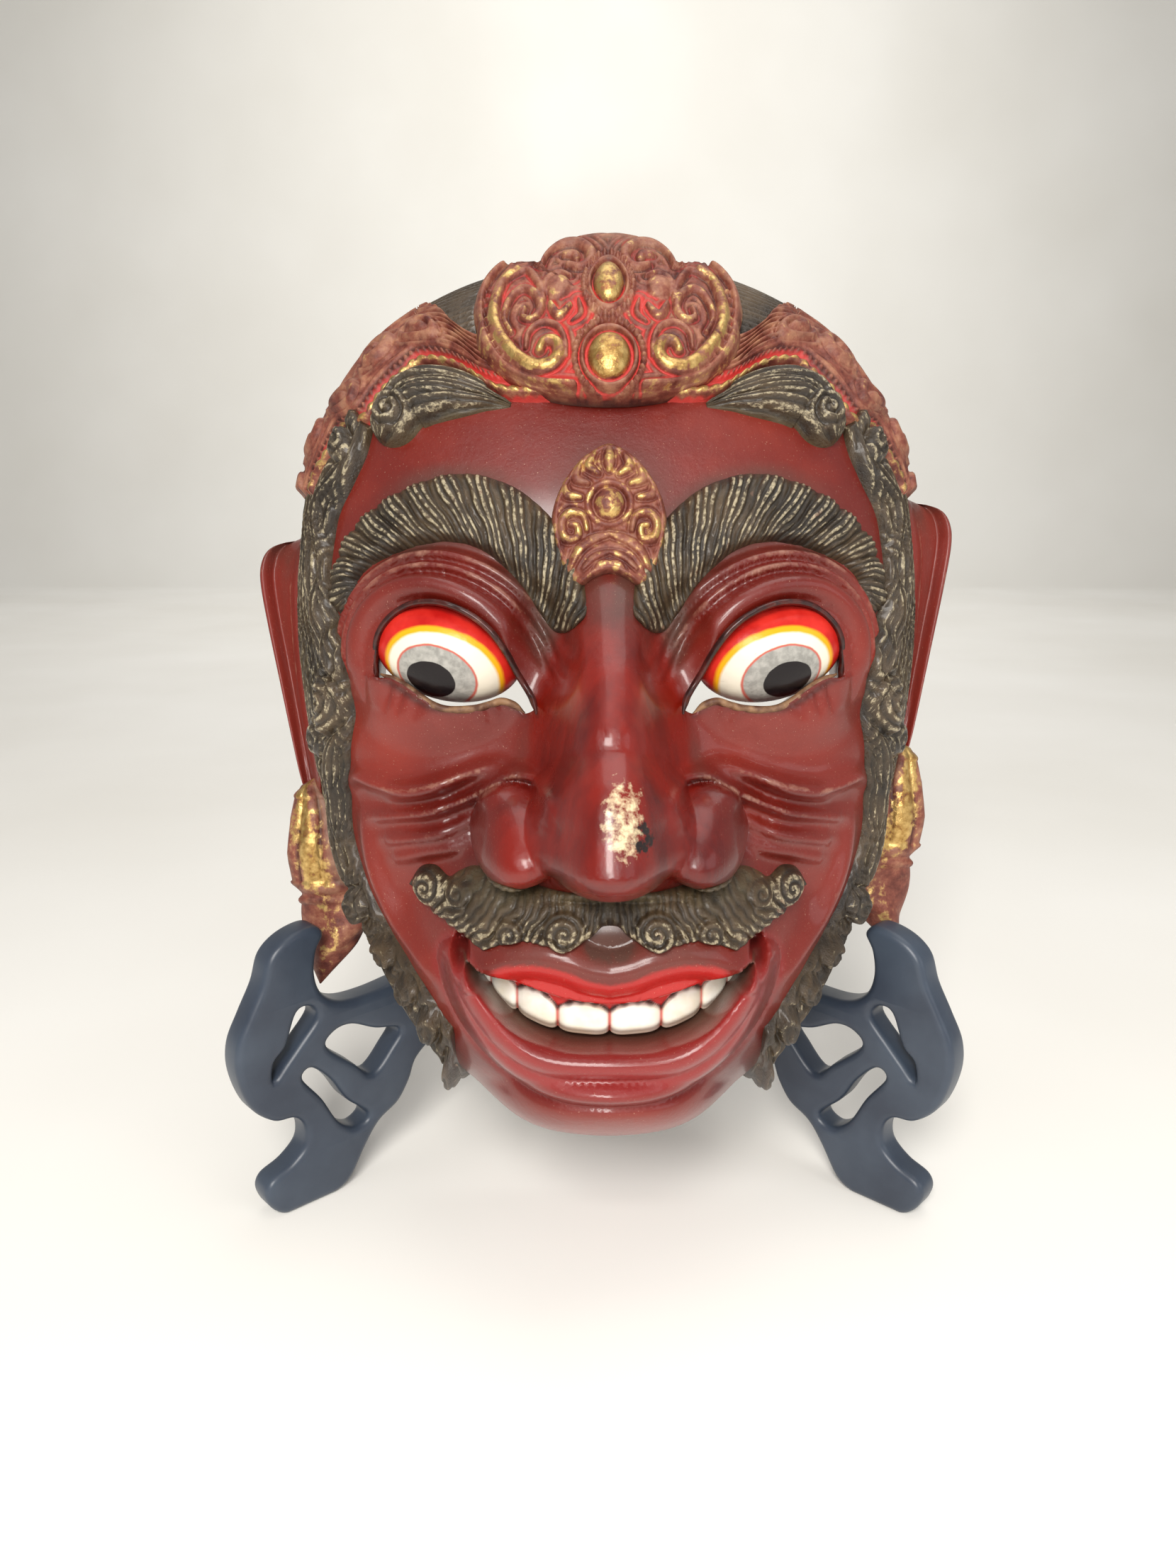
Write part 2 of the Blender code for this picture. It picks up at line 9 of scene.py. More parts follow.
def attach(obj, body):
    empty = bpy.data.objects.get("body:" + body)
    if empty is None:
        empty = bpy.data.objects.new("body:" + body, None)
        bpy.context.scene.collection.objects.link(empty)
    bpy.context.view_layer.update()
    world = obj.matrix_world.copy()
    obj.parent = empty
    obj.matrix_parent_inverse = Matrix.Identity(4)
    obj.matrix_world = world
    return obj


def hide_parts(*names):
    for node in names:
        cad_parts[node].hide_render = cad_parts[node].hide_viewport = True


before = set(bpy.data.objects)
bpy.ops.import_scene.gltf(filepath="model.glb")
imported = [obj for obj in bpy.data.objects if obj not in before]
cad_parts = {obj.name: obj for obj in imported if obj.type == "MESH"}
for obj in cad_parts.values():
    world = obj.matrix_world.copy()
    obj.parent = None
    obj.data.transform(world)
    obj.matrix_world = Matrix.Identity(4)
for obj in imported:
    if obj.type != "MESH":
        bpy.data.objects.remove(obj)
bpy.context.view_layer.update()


# ---------------------------------------------------------------------------
# Table and light. The mask stands on a pale cloth-covered table, and the cloth
# sweeps up the wall behind it. A soft window in front of it and above, a small
# low lamp, the lit ceiling and wall, and a weak fill from the right.
# ---------------------------------------------------------------------------
def shade(mat, kind, settings=None, **sockets):
    """A shader node; each named socket is given a value, or is linked to an output."""
    tree = mat.node_tree if hasattr(mat, "node_tree") else mat
    node = tree.nodes.new("ShaderNode" + kind)
    for name, value in (settings or {}).items():
        setattr(node, name, value)
    for name, value in sockets.items():
        name = name.replace("_", " ")
        socket = node.inputs[int(name[1:])] if name[1:].isdigit() else node.inputs[name]
        if isinstance(value, bpy.types.NodeSocket):
            tree.links.new(value, socket)
        elif isinstance(value, tuple) and len(value) == 3 and socket.type == "RGBA":
            socket.default_value = (*value, 1.0)
        else:
            socket.default_value = value
    return node


def ramp(mat, value, *stops):
    """Colour ramp over a value: (place, colour) pairs."""
    node = shade(mat, "ValToRGB", Fac=value)
    elements = node.color_ramp.elements
    while len(elements) < len(stops):
        elements.new(1.0)
    for element, (place, colour) in zip(elements, stops):
        element.position, element.color = place, (*colour, 1.0)
    return node.outputs[0]


def finish_of(name):
    """A new material with its Principled shader ready to be wired."""
    mat = bpy.data.materials.new(name)
    mat.use_nodes = True
    return mat, mat.node_tree.nodes["Principled BSDF"]


def connect(mat, output, shader, socket):
    """Let an output feed one of the shader's sockets."""
    mat.node_tree.links.new(output, shader.inputs[socket])


def noise(mat, scale, detail=3.0, roughness=0.55, stretch=None):
    """Cloudy value of a given scale, drawn out along an axis where stretch says."""
    place = shade(mat, "TexCoord").outputs["Object"]
    if stretch:
        place = shade(mat, "Mapping", Vector=place, Scale=stretch).outputs[0]
    return shade(mat, "TexNoise", Vector=place, Scale=scale, Detail=detail, Roughness=roughness).outputs[0]


def finished(mat, shader, colour, roughness, height, strength, distance):
    """Give a shader its colour, its roughness and the bumps that the height makes."""
    connect(mat, colour, shader, "Base Color")
    if isinstance(roughness, bpy.types.NodeSocket):
        connect(mat, roughness, shader, "Roughness")
    else:
        shader.inputs["Roughness"].default_value = roughness
    bump = shade(mat, "Bump", Height=height, Strength=strength, Distance=distance)
    connect(mat, bump.outputs[0], shader, "Normal")


def select_only(item):
    """Deselect everything, then select one object and make it the active one."""
    bpy.ops.object.select_all(action="DESELECT")
    bpy.context.view_layer.objects.active = item
    item.select_set(True)


def select_edges(mesh, wanted):
    """In edit mode, select just the edges that are wanted."""
    bpy.ops.mesh.select_all(action="DESELECT")
    bm = bmesh.from_edit_mesh(mesh)
    for edge in bm.edges:
        edge.select_set(wanted(edge))
    bmesh.update_edit_mesh(mesh)


cloth_mat, cloth_shader = finish_of("pale_cloth")
folds = noise(cloth_mat, 3.5, 3.0, 0.45)
colour = ramp(cloth_mat, folds, (0.3, (0.83, 0.81, 0.76)), (0.7, (0.90, 0.885, 0.845)))
finished(cloth_mat, cloth_shader, colour, 0.85, folds, 0.25, 0.03)

CLOTH_WIDTH, CLOTH_MIDDLE, WALL_HEIGHT, SWEEP = 5.0, -0.6, 1.6, 0.6
bpy.ops.object.select_all(action="DESELECT")
bpy.ops.mesh.primitive_plane_add(size=CLOTH_WIDTH, location=(0.0, CLOTH_MIDDLE, 0.0))
cloth = bpy.context.object
cloth.name = "table_cloth"
bpy.ops.object.mode_set(mode="EDIT")
select_edges(cloth.data, lambda edge: all(v.co.y > 1.0 for v in edge.verts))
bpy.ops.mesh.extrude_edges_move(TRANSFORM_OT_translate={"value": (0.0, 0.0, WALL_HEIGHT)})
select_edges(cloth.data, lambda edge: all(v.co.y > 1.0 and v.co.z < 0.1 for v in edge.verts))
bpy.ops.mesh.bevel(offset=SWEEP, segments=14)
bpy.ops.object.mode_set(mode="OBJECT")
bpy.ops.object.transform_apply(location=True, rotation=True, scale=True)
cloth.data.shade_smooth()
cloth.data.materials.append(cloth_mat)

for name, place, aim_y, size, power, spread, tint in (
        ("window", (-0.12, -0.85, 0.72), 0.0, 0.30, 6.8, 180, (1.0, 0.97, 0.93)),
        ("glint", (-0.02, -0.70, 0.36), 0.0, 0.14, 1.3, 180, (1.0, 0.98, 0.95)),
        ("ceiling", (0.15, 0.05, 1.2), 0.0, 0.9, 4.6, 180, (1.0, 0.98, 0.95)),
        ("backdrop", (0.0, 1.0, 1.7), 1.9, 1.2, 6.5, 100, (1.0, 0.98, 0.94)),
        ("fill", (0.9, -0.6, 0.5), 0.0, 0.6, 1.5, 180, (0.95, 0.97, 1.0))):
    lamp = bpy.data.lights.new(name, "AREA")
    lamp.size, lamp.energy, lamp.color, lamp.spread = size, power, tint, math.radians(spread)
    lamp_object = bpy.data.objects.new(name, lamp)
    lamp_object.location = place
    aim = Vector((0.0, aim_y, 0.13)) - Vector(place)
    lamp_object.rotation_euler = aim.to_track_quat("-Z", "Y").to_euler()
    bpy.context.scene.collection.objects.link(lamp_object)
room = bpy.data.worlds.new("room")
room.use_nodes = True
room.node_tree.nodes["Background"].inputs[0].default_value = (1.0, 0.985, 0.955, 1.0)
room.node_tree.nodes["Background"].inputs[1].default_value = 0.36
bpy.context.scene.world = room
bpy.context.scene.view_settings.view_transform = "Standard"

camera = bpy.data.objects.new("camera", bpy.data.cameras.new("camera"))
camera.data.sensor_width = 36.0
camera.data.lens = 27.03
camera.data.clip_start = 0.01
camera.location = (-0.0030, -0.3373, 0.2150)
camera.rotation_euler = (math.radians(75.0), 0.0, 0.0)
bpy.context.scene.collection.objects.link(camera)
bpy.context.scene.camera = camera


# ---------------------------------------------------------------------------
# The block. One piece of light wood, carved to a face in front and hollowed
# behind, leaning back 12 degrees; priming, then many coats of maroon lacquer.
# In millimetres, x runs to the right, v up from the chin, w out from the rim.
# ---------------------------------------------------------------------------
MM, LEAN = 0.001, math.radians(12.0)
MASK_X, CHIN_Y, CHIN_Z = 2.2, -10.3, 29.5
HALF_WIDTH, DEPTH = 88.0, 68.0
MIDDLE, SQUARENESS, WALL = 118.0, 2.4, 9.0
MASK_TO_WORLD = Matrix((
    (MM, 0.0, 0.0, MASK_X * MM),
    (0.0, math.sin(LEAN) * MM, -math.cos(LEAN) * MM, CHIN_Y * MM),
    (0.0, math.cos(LEAN) * MM, math.sin(LEAN) * MM, CHIN_Z * MM),
    (0.0, 0.0, 0.0, 1.0)))
LID_LINE = [
    (58.6, 125.0), (58.6, 129.4), (57.0, 135.4), (53.1, 139.9), (47.7, 142.3), (40.9, 142.2),
    (34.2, 139.6), (29.0, 135.7), (25.1, 130.5), (22.4, 125.3), (19.2, 120.0), (18.0, 117.0)]
LOWER_LID = [
    (54.5, 124.4), (51.0, 122.7), (47.6, 120.4), (43.8, 117.9), (39.6, 116.6), (33.3, 116.8),
    (29.2, 117.8), (26.3, 118.6), (23.3, 117.6), (20.8, 115.6)]


def ease(low, high, value):
    """Smooth step from 0 at low to 1 at high."""
    t = np.clip((value - low) / (high - low), 0.0, 1.0)
    return t * t * (3.0 - 2.0 * t)


def mound(x, v, centre, radii):
    """Rounded bump of height 1 that dies out at its elliptical edge."""
    d = ((x - centre[0]) / radii[0]) ** 2 + ((v - centre[1]) / radii[1]) ** 2
    return np.clip(1.0 - d, 0.0, None) ** 2 * (3.0 - 2.0 * np.clip(1.0 - d, 0.0, 1.0))


def ball(x, v, centre, radii):
    """Round ball of height 1 with a steep edge."""
    d = ((x - centre[0]) / radii[0]) ** 2 + ((v - centre[1]) / radii[1]) ** 2
    return np.sqrt(np.clip(1.0 - d, 0.0, None))


def flow(points, steps=12, closed=False):
    """Smooth line through a few points (Catmull-Rom)."""
    ends = ([points[-1]], [points[0], points[1]]) if closed else ([points[0]], [points[-1]])
    p = np.array([*ends[0], *points, *ends[1]], dtype=float)
    line = []
    for i in range(1, len(p) - 2):
        for t in np.arange(steps) / steps:
            line.append(0.5 * (2 * p[i] + (p[i + 1] - p[i - 1]) * t
                        + (2 * p[i - 1] - 5 * p[i] + 4 * p[i + 1] - p[i + 2]) * t * t
                        + (3 * p[i] - p[i - 1] - 3 * p[i + 1] + p[i + 2]) * t ** 3))
    if not closed:
        line.append(p[-2])
    return np.array(line)


def stroke(x, v, points, steps=8):
    """Distance from a gouge stroke, and how far along it, from 0 to 1."""
    line = flow(points, steps)
    nearest = np.full(np.shape(x), 1e9)
    along = np.zeros(np.shape(x))
    for i in range(len(line) - 1):
        a, b = line[i], line[i + 1]
        run = b - a
        t = np.clip(((x - a[0]) * run[0] + (v - a[1]) * run[1]) / (run @ run), 0.0, 1.0)
        d = np.hypot(x - a[0] - t * run[0], v - a[1] - t * run[1])
        closer = d < nearest
        nearest = np.where(closer, d, nearest)
        along = np.where(closer, (i + t) / (len(line) - 1), along)
    return nearest, along


def roll(distance, half_width, power=0.8):
    """Rounded section of a raised roll."""
    return np.clip(1.0 - (distance / half_width) ** 2, 0.0, 1.0) ** power


def peak(distance, width):
    """Soft narrow ridge, 1 on its line."""
    return np.exp(-(distance / width) ** 2)


def within(x, v, ring):
    """True where a point lies inside a closed line."""
    inside = np.zeros(np.shape(x), bool)
    for (ax, av), (bx, bv) in zip(ring, np.roll(ring, -1, axis=0)):
        if av == bv:
            continue
        crosses = ((av > v) != (bv > v)) & (x < (bx - ax) * (v - av) / (bv - av) + ax)
        inside = inside ^ crosses
    return inside


def waver(x, v, size, seed):
    """Slow uneven wander between -1 and 1, the same every time."""
    a, b = x / size, v / size
    return (np.sin(a * 1.7 + b * 1.1 + seed) + np.sin(a * 0.9 - b * 2.3 + 2.1 * seed)
            + np.sin(-a * 2.9 + b * 0.6 + 3.7 * seed)) / 3.0


def rim_reach(angle):
    """Distance from the middle of the face to the rear rim, in any direction."""
    half = flow([(0, 0), (19, 1.5), (32, 8), (47, 20), (58.5, 34), (66, 50), (73, 66),
                 (80, 88), (85, 112), (HALF_WIDTH, 140), (HALF_WIDTH - 1, 166),
                 (83, 189), (72, 211), (57, 226.5), (31, 238.5), (0, 241.5)], 8)
    line_angle = np.arctan2(half[:, 1] - MIDDLE, half[:, 0])
    line_reach = np.hypot(half[:, 0], half[:, 1] - MIDDLE)
    folded = np.arctan2(np.sin(angle), np.abs(np.cos(angle)))
    return np.interp(folded, line_angle, line_reach)


def squareness(angle):
    """How square the dome's outline is, a little more so below."""
    return SQUARENESS + 0.7 * ease(0.2, 1.3, -angle) * ease(-2.9, -1.8, angle)


def nose(x, v):
    """Height of the nose over the dome: its ridge, round tip, two wings and base."""
    profile = np.interp(v, [72, 76, 84, 95, 104, 115, 128, 141, 151, 158],
                        [0, 13, 27, 31.5, 32.6, 29.6, 22, 12.5, 5, 0])
    half = np.interp(v, [72, 82, 96, 110, 122, 135, 158], [13.0, 14.6, 15.2, 14.6, 13.4, 11.4, 7.2])
    ridge = profile * np.exp(-np.abs(x / half) ** 2.6)
    tip = 35.0 * ball(x, v, (0.0, 92.4), (20.0, 18.8))
    wing = 22.0 * ball(x, v, (22.3, 87.2), (12.4, 12.6)) ** 0.95
    base = 12.0 * roll(x, 27.0, 1.2) * ease(73.0, 81.0, v) * ease(95.0, 83.0, v)
    body = (ridge ** 3.2 + tip ** 3.2) ** (1 / 3.2)
    return (body ** 3 + wing ** 3 + base ** 3) ** (1 / 3)


def lids(x, v):
    """Bulging lid with its folds, and how far a place lies on a fold's crest."""
    distance, along = stroke(x, v, [(60.5, 118.0), *LID_LINE[:-1]])
    outside = ~within(x, v, np.array([*LID_LINE, *LOWER_LID[::-1]]))
    fade = np.sin(np.pi * np.clip(along, 0.0, 1.0)) ** 0.6 * outside
    crest = (peak(distance - 8.7, 1.15) + 0.9 * peak(distance - 12.2, 1.2)
             + 0.6 * peak(distance - 17.4, 1.8)) * fade
    groove = (1.5 * peak(distance - 6.7, 1.1) + 1.3 * peak(distance - 10.4, 0.9)
              + 1.1 * peak(distance - 14.8, 1.5))
    fat = 3.0 * np.sin(np.pi * np.clip(distance / 7.2, 0.0, 1.0)) ** 0.7
    height = 7.5 * mound(x, v, (43.0, 133.5), (31, 29))
    height += fade * (fat - 1.15 * groove) + 1.25 * crest
    height -= 4.0 * mound(x, v, (15.5, 133.0), (9.5, 17.0))
    return height, crest


def smile_lines(x, v):
    """Wrinkles that fan from the wings of the nose, and their crests."""
    height, crest = np.zeros(np.shape(x)), np.zeros(np.shape(x))
    for points, lift, width, pale in (
            ([(21.1, 101.6), (26.2, 102.9), (31.5, 101.9), (37.3, 99.9), (43.8, 98.2), (50.9, 97.4),
              (57, 98.6), (63.3, 99.7), (68, 97.5)], 3.0, 2.6, 0.9),
            ([(36.0, 99.6), (41.8, 97.0), (47.4, 95.6), (56, 94.2)], 1.4, 1.6, 0.35),
            ([(15.7, 93.5), (14.8, 97.6), (17.5, 100.8), (22.7, 101.0), (27.4, 98.8), (33.0, 95.7),
              (38.9, 93.2), (45.0, 91.4), (52, 90.3), (61, 89)], 3.4, 2.3, 1.0),
            ([(33.0, 90.4), (37.5, 87.5), (43.5, 85.4), (50.2, 84.4), (58, 83.2)], 2.3, 2.5, 0.45),
            ([(34.1, 84.9), (39.9, 81.9), (47.6, 80.2), (55.7, 78.2)], 1.9, 2.4, 0.4),
            ([(64.7, 89.0), (62.8, 79.1), (59.8, 70.9), (55.3, 61.9), (49.3, 54.5), (44.5, 49.5)],
             1.9, 2.6, 0.5)):
        distance, along = stroke(x, v, points)
        fade = np.sin(np.pi * np.clip(0.04 + 0.93 * along, 0.0, 1.0)) ** 0.6
        height += 1.75 * lift * peak(distance, width * 0.9) * fade
        crest = np.maximum(crest, pale * peak(distance, width * 0.36) * fade)
    height -= 2.2 * mound(x, v, (35.5, 91), (7, 12)) + 2.4 * mound(x, v, (42, 68), (16, 22))
    height += 2.6 * mound(x, v, (52, 106), (20, 15))
    return height, crest


LIP_RIDGE = [(0, 54.2), (5, 55.2), (10, 57.2), (17, 58.6), (24, 58.0), (29, 56.0), (33.5, 55.0)]
LIP_EDGE = [(0, 46.9), (6, 47.4), (12.6, 48.8), (20, 51.2), (25.8, 52.9), (30, 54.0), (36.5, 57.0)]
LOWER_EDGE = [(0, 35.0), (11, 35.4), (22.5, 39.6), (30.5, 47.8), (36.5, 56.0)]
LOWER_RIDGE = [(0, 31.6), (12, 32.0), (20.0, 34.4), (26.4, 39.4), (30.4, 44.6), (33.6, 49.6)]
LOWER_SKIRT = [(0, 25.9), (12, 26.3), (20.8, 28.6), (28.6, 35.4), (34.4, 44.4), (38.6, 54.4)]
LOWER_CREASE = [(0, 21.6), (10, 21.8), (20.4, 23.6), (30.4, 31.6), (36.2, 41.6), (41.0, 53.0)]


def height_of(points, x):
    """How high a smooth line through the points lies at x."""
    line = flow(points)
    return np.interp(x, line[:, 0], line[:, 1])


def mouth(x, v):
    """Forward push of the muzzle, lips, chin and the open mouth."""
    push = 20.0 * mound(x, v, (0, 44), (64, 52)) + 12.0 * mound(x, v, (0, 12), (38, 17))
    upper, _ = stroke(x, v, LIP_RIDGE)
    lower, _ = stroke(x, v, LOWER_RIDGE)
    skirt, _ = stroke(x, v, LOWER_SKIRT)
    crease, _ = stroke(x, v, LOWER_CREASE)
    push = push + 4.6 * roll(upper, 6.0, 0.9)
    push = push + np.maximum(8.4 * roll(lower, 5.6, 0.9), 6.4 * roll(skirt, 5.0, 0.8))
    push = push - 2.0 * peak(crease, 1.8)
    top, bottom = height_of(LIP_EDGE, x), height_of(LOWER_EDGE, x)
    open_mouth = ease(0.0, 1.6, top - v) * ease(0.0, 3.6, v - bottom) * ease(38.2, 36.8, x)
    corner = ease(3.6, 0.6, np.hypot((x - 36.6) * 1.1, (v - 57.4) * 0.7))
    return push - 17.0 * np.maximum(open_mouth, 0.5 * corner)


def dome(radius, angle, inset=0.0):
    """Point of the plain dome and its outward direction, in the plane of the angle."""
    power = 2.0 / squareness(angle)
    sine, cosine = np.sin(radius * math.pi / 2), np.cos(radius * math.pi / 2).clip(0.0)
    out, lift = (rim_reach(angle) - inset) * sine ** power, (DEPTH - inset) * cosine ** power
    nr, nw = lift * sine ** 2 + 1e-9, out * cosine ** 2 + 1e-9
    size = np.hypot(nr, nw)
    return out, lift, nr / size, nw / size


def carved(radius, angle, raised=0.0):
    """Front surface of the block with its large carving; raised adds along the normal."""
    out, lift, nr, nw = dome(radius, angle)
    x, v = out * np.cos(angle), MIDDLE + out * np.sin(angle)
    ax = np.abs(x)
    relief = (lids(ax, v)[0] + smile_lines(ax, v)[0]) * ease(1.0, 0.97, radius) + raised
    rise = nose(ax, v)
    push = mouth(ax, v) * ease(1.0, 0.8, radius)
    return np.stack([x + relief * nr * np.cos(angle),
                     v + relief * nr * np.sin(angle) - 0.12 * rise,
                     lift + relief * nw + rise + push], axis=-1)


def place_of(x, v):
    """Where on the dome a frontal place lies."""
    angle = np.arctan2(v - MIDDLE, x)
    q = np.clip(np.hypot(x, v - MIDDLE) / rim_reach(angle), 0.0, 1.0)
    return np.arcsin(q ** (squareness(angle) / 2.0)) * 2.0 / math.pi, angle


def on_face(x, v, raised=0.0):
    """The carved surface at a frontal place."""
    return carved(*place_of(x, v), raised)


def disc(a, b):
    """Square grid place pressed into a round disc: radius and angle."""
    x, y = a * np.sqrt(1.0 - b * b / 2.0), b * np.sqrt(1.0 - a * a / 2.0)
    return np.minimum(np.hypot(x, y), 1.0), np.arctan2(y, x)


def mark_verts(bm, marks):
    """Keep named values on a mesh's vertices for its paint to read."""
    for label, values in marks.items():
        bm.verts.layers.float.new(label)
        mark = bm.verts.layers.float[label]
        for vert, value in zip(bm.verts, np.broadcast_to(values, len(bm.verts))):
            vert[mark] = float(value)


def move_verts(bm, points):
    """Put each vertex at its point."""
    for vert, point in zip(bm.verts, points):
        vert.co = point


def disc_places(bm):
    """Radius and angle of each vertex of a square grid once it is pressed into a disc."""
    flat = np.array([vert.co[:2] for vert in bm.verts])
    return disc(flat[:, 0], flat[:, 1])


def disc_grid(squares):
    """A square grid of vertices, with their places on a disc."""
    bm = bmesh.new()
    bmesh.ops.create_grid(bm, x_segments=squares, y_segments=squares, size=1.0)
    return bm, *disc_places(bm)


RIM_CROWDING = 0.96


def front_skin(squares, longest):
    """Fine grid over the whole front, split again wherever the carving stretches it."""
    bm, _, _ = disc_grid(squares)
    bmesh.ops.triangulate(bm, faces=bm.faces)
    for _ in range(3):
        radius, angle = disc_places(bm)
        points = carved(radius ** RIM_CROWDING, angle)
        bm.verts.index_update()
        edges = list(bm.edges)
        ends = np.array([(e.verts[0].index, e.verts[1].index) for e in edges])
        length = np.linalg.norm(points[ends[:, 0]] - points[ends[:, 1]], axis=1)
        bare = np.hypot(points[:, 0] / 74.0, (points[:, 1] - 104.0) / 96.0)[ends[:, 0]] < 1.0
        long = [edges[i] for i in np.nonzero(length > np.where(bare, longest, 2 * longest))[0]]
        if not long:
            break
        bmesh.ops.subdivide_edges(bm, edges=long, cuts=1)
        bmesh.ops.triangulate(bm, faces=[f for f in bm.faces if len(f.verts) > 3])
    radius, angle = disc_places(bm)
    radius = radius ** RIM_CROWDING
    mark_verts(bm, skin_marks(radius, angle))
    move_verts(bm, carved(radius, angle))
    return bm


def skin_marks(radius, angle):
    """Where the lacquer is hazy, dusty, rubbed pale or worn, where the mouth is painted, and where shade
    and a nose-tip highlight are painted in.
    """
    out, _, _, _ = dome(radius, angle)
    x, v = out * np.cos(angle), MIDDLE + out * np.sin(angle)
    ax = np.abs(x)
    brow, _ = stroke(ax, v, [(8, 138), (13, 150), (20, 158), (28, 164), (37, 167), (47, 166),
                             (56, 163), (64, 158), (69, 150), (69, 142)])
    stache, _ = stroke(ax, v, [(0, 69), (20, 68), (36, 68), (46, 71)])
    haze = 0.08
    for amount, centre, radii in (
            (0.7, (62, 118), (20, 60)), (0.5, (52, 62), (20, 30)), (0.55, (0, 64), (40, 14)),
            (0.3, (0, 10), (60, 16)), (0.55, (38, 110), (24, 14)), (0.3, (0, 20), (40, 20))):
        haze = haze + amount * mound(ax, v, centre, radii)
    dust = 0.9 * ease(13.5, 7.5, brow) * (v > 118) * ease(66, 44, ax)
    dust = np.maximum(dust, 0.7 * ease(12.5, 8.5, stache) * ease(66, 74, v) * ease(40, 30, ax))
    # The two mounds under the moustache's parting darken the upper lip as painted shade; the others are
    # dust.
    for amount, centre, radii in (
            (1.4, (13.5, 140), (8.5, 20)), (0.6, (0, 165), (22, 24)), (0.6, (17.5, 104), (7, 12)),
            (0.62, (0, 60), (32, 8)), (1.9, (0, 61.5), (8.5, 6.5))):
        dust = np.maximum(dust, amount * mound(ax, v, centre, radii))
    pale = np.clip(0.75 * lids(ax, v)[1] + 0.8 * smile_lines(ax, v)[1], 0.0, 1.0)
    top, bottom = height_of(LIP_EDGE, ax), height_of(LOWER_EDGE, ax)
    painted = (ease(0.5, -0.5, v - height_of(LIP_RIDGE, ax) + 1.8)
               * ease(-3.0, -1.5, v - top) * ease(29.5, 26.5, ax))
    corner = ease(2.6, 1.2, np.hypot((ax - 36.4) * 1.2, (v - 57.2) * 0.7)) * (ax > 32.0)
    ledge = ease(0.3, 2.2, v - bottom) * ease(0.5, -0.5, v - top) * (ax < 38.0)
    crease, _ = stroke(ax, v, LOWER_CREASE)
    lower_lid, _ = stroke(ax, v, LOWER_LID)
    skirt, _ = stroke(ax, v, LOWER_SKIRT)
    lower, _ = stroke(ax, v, LOWER_RIDGE)
    # Painted shade: darker in the crease under the lower lip, in the mouth corners, along the lower lid and
    # in the nostrils.
    nostril = peak(np.hypot(ax - 11, v - 75), 4.0)
    dark = 0.4 * peak(crease, 2.0) + 0.6 * corner + 0.75 * peak(lower_lid, 0.9) + 0.6 * nostril
    return {"haze": np.clip(haze, 0, 1), "dust": dust, "pale": pale, "red": np.clip(painted, 0, 1),
            "ledge": ledge * (1 - painted), "lip": ease(7.5, 5.0, skirt) + ease(7.0, 5.0, lower),
            "dark": np.clip(dark, 0, 1),
            "nose": ease(1.0, 6.0, nose(ax, v)) * ease(150, 130, v) * ease(30, 22, ax),
            # Cream patch on the nose tip: partly wear, partly a painted highlight.
            "worn": 0.86 * mound(x, v, (2.4, 97.0), (7.5, 13.5)),
            "stain": 0.62 * mound(x, v, (6.5, 93.0), (4.0, 7.0))}


def hollow_skin(squares):
    """Hollow behind the face, cut with a gouge to an even wall."""
    bm, radius, angle = disc_grid(squares)
    out, lift, _, _ = dome(radius, angle, WALL)
    x, v = out * np.cos(angle), MIDDLE + out * np.sin(angle)
    deep = 16.0 * mound(np.abs(x), v, (0, 92), (26, 36)) + 12.0 * mound(x, v, (0, 36), (48, 34))
    cuts = 0.25 * np.abs(np.sin(x / 3.6 + 0.6 * np.sin(v / 9.0))) * np.abs(np.sin(v / 6.5 + 0.3 * x))
    w = lift + (deep - cuts) * ease(1.0, 0.8, radius)
    move_verts(bm, np.stack([x, v, w], axis=-1))
    bmesh.ops.reverse_faces(bm, faces=bm.faces)
    return bm


def joined_skins(name, front, back, back_finish=0):
    """Front and back skins joined round the rim as one closed mesh."""
    mesh = bpy.data.meshes.new(name)
    bm = bmesh.new()
    for part in (front, back):
        for face in part.faces:
            face.material_index = back_finish if part is back else 0
        part.to_mesh(mesh)
        bm.from_mesh(mesh)
        part.free()
    edges = [edge for edge in bm.edges if edge.is_boundary]
    for face in bmesh.ops.bridge_loops(bm, edges=edges)["faces"]:
        face.material_index = back_finish
    bmesh.ops.triangulate(bm, faces=[f for f in bm.faces if len(f.verts) > 3])
    bmesh.ops.recalc_face_normals(bm, faces=bm.faces)
    bm.to_mesh(mesh)
    bm.free()
    return mesh


block_mesh = joined_skins("mask_block", front_skin(squares=206, longest=1.45),
                          hollow_skin(squares=90), back_finish=1)


def eye_hole(side):
    """Solid that cuts an eye's opening straight through the wood."""
    ring = flow([*LID_LINE, *LOWER_LID[::-1]], 5, closed=True)
    ring[:, 0] *= side
    bm = bmesh.new()
    rings = [[bm.verts.new((x, v, w)) for x, v in ring] for w in (20.0, 110.0)]
    count = len(ring)
    for i in range(count):
        j = (i + 1) % count
        bm.faces.new((rings[0][i], rings[0][j], rings[1][j], rings[1][i]))
    bm.faces.new(rings[0])
    bm.faces.new(rings[1])
    bmesh.ops.triangulate(bm, faces=[f for f in bm.faces if len(f.verts) > 4])
    bmesh.ops.recalc_face_normals(bm, faces=bm.faces)
    return bm


def srgb(red, green, blue):
    """A paint's colour as read off a swatch, 0 to 255."""
    return tuple(((c / 255 + 0.055) / 1.055) ** 2.4 if c > 10 else c / 255 / 12.92
                 for c in (red, green, blue))


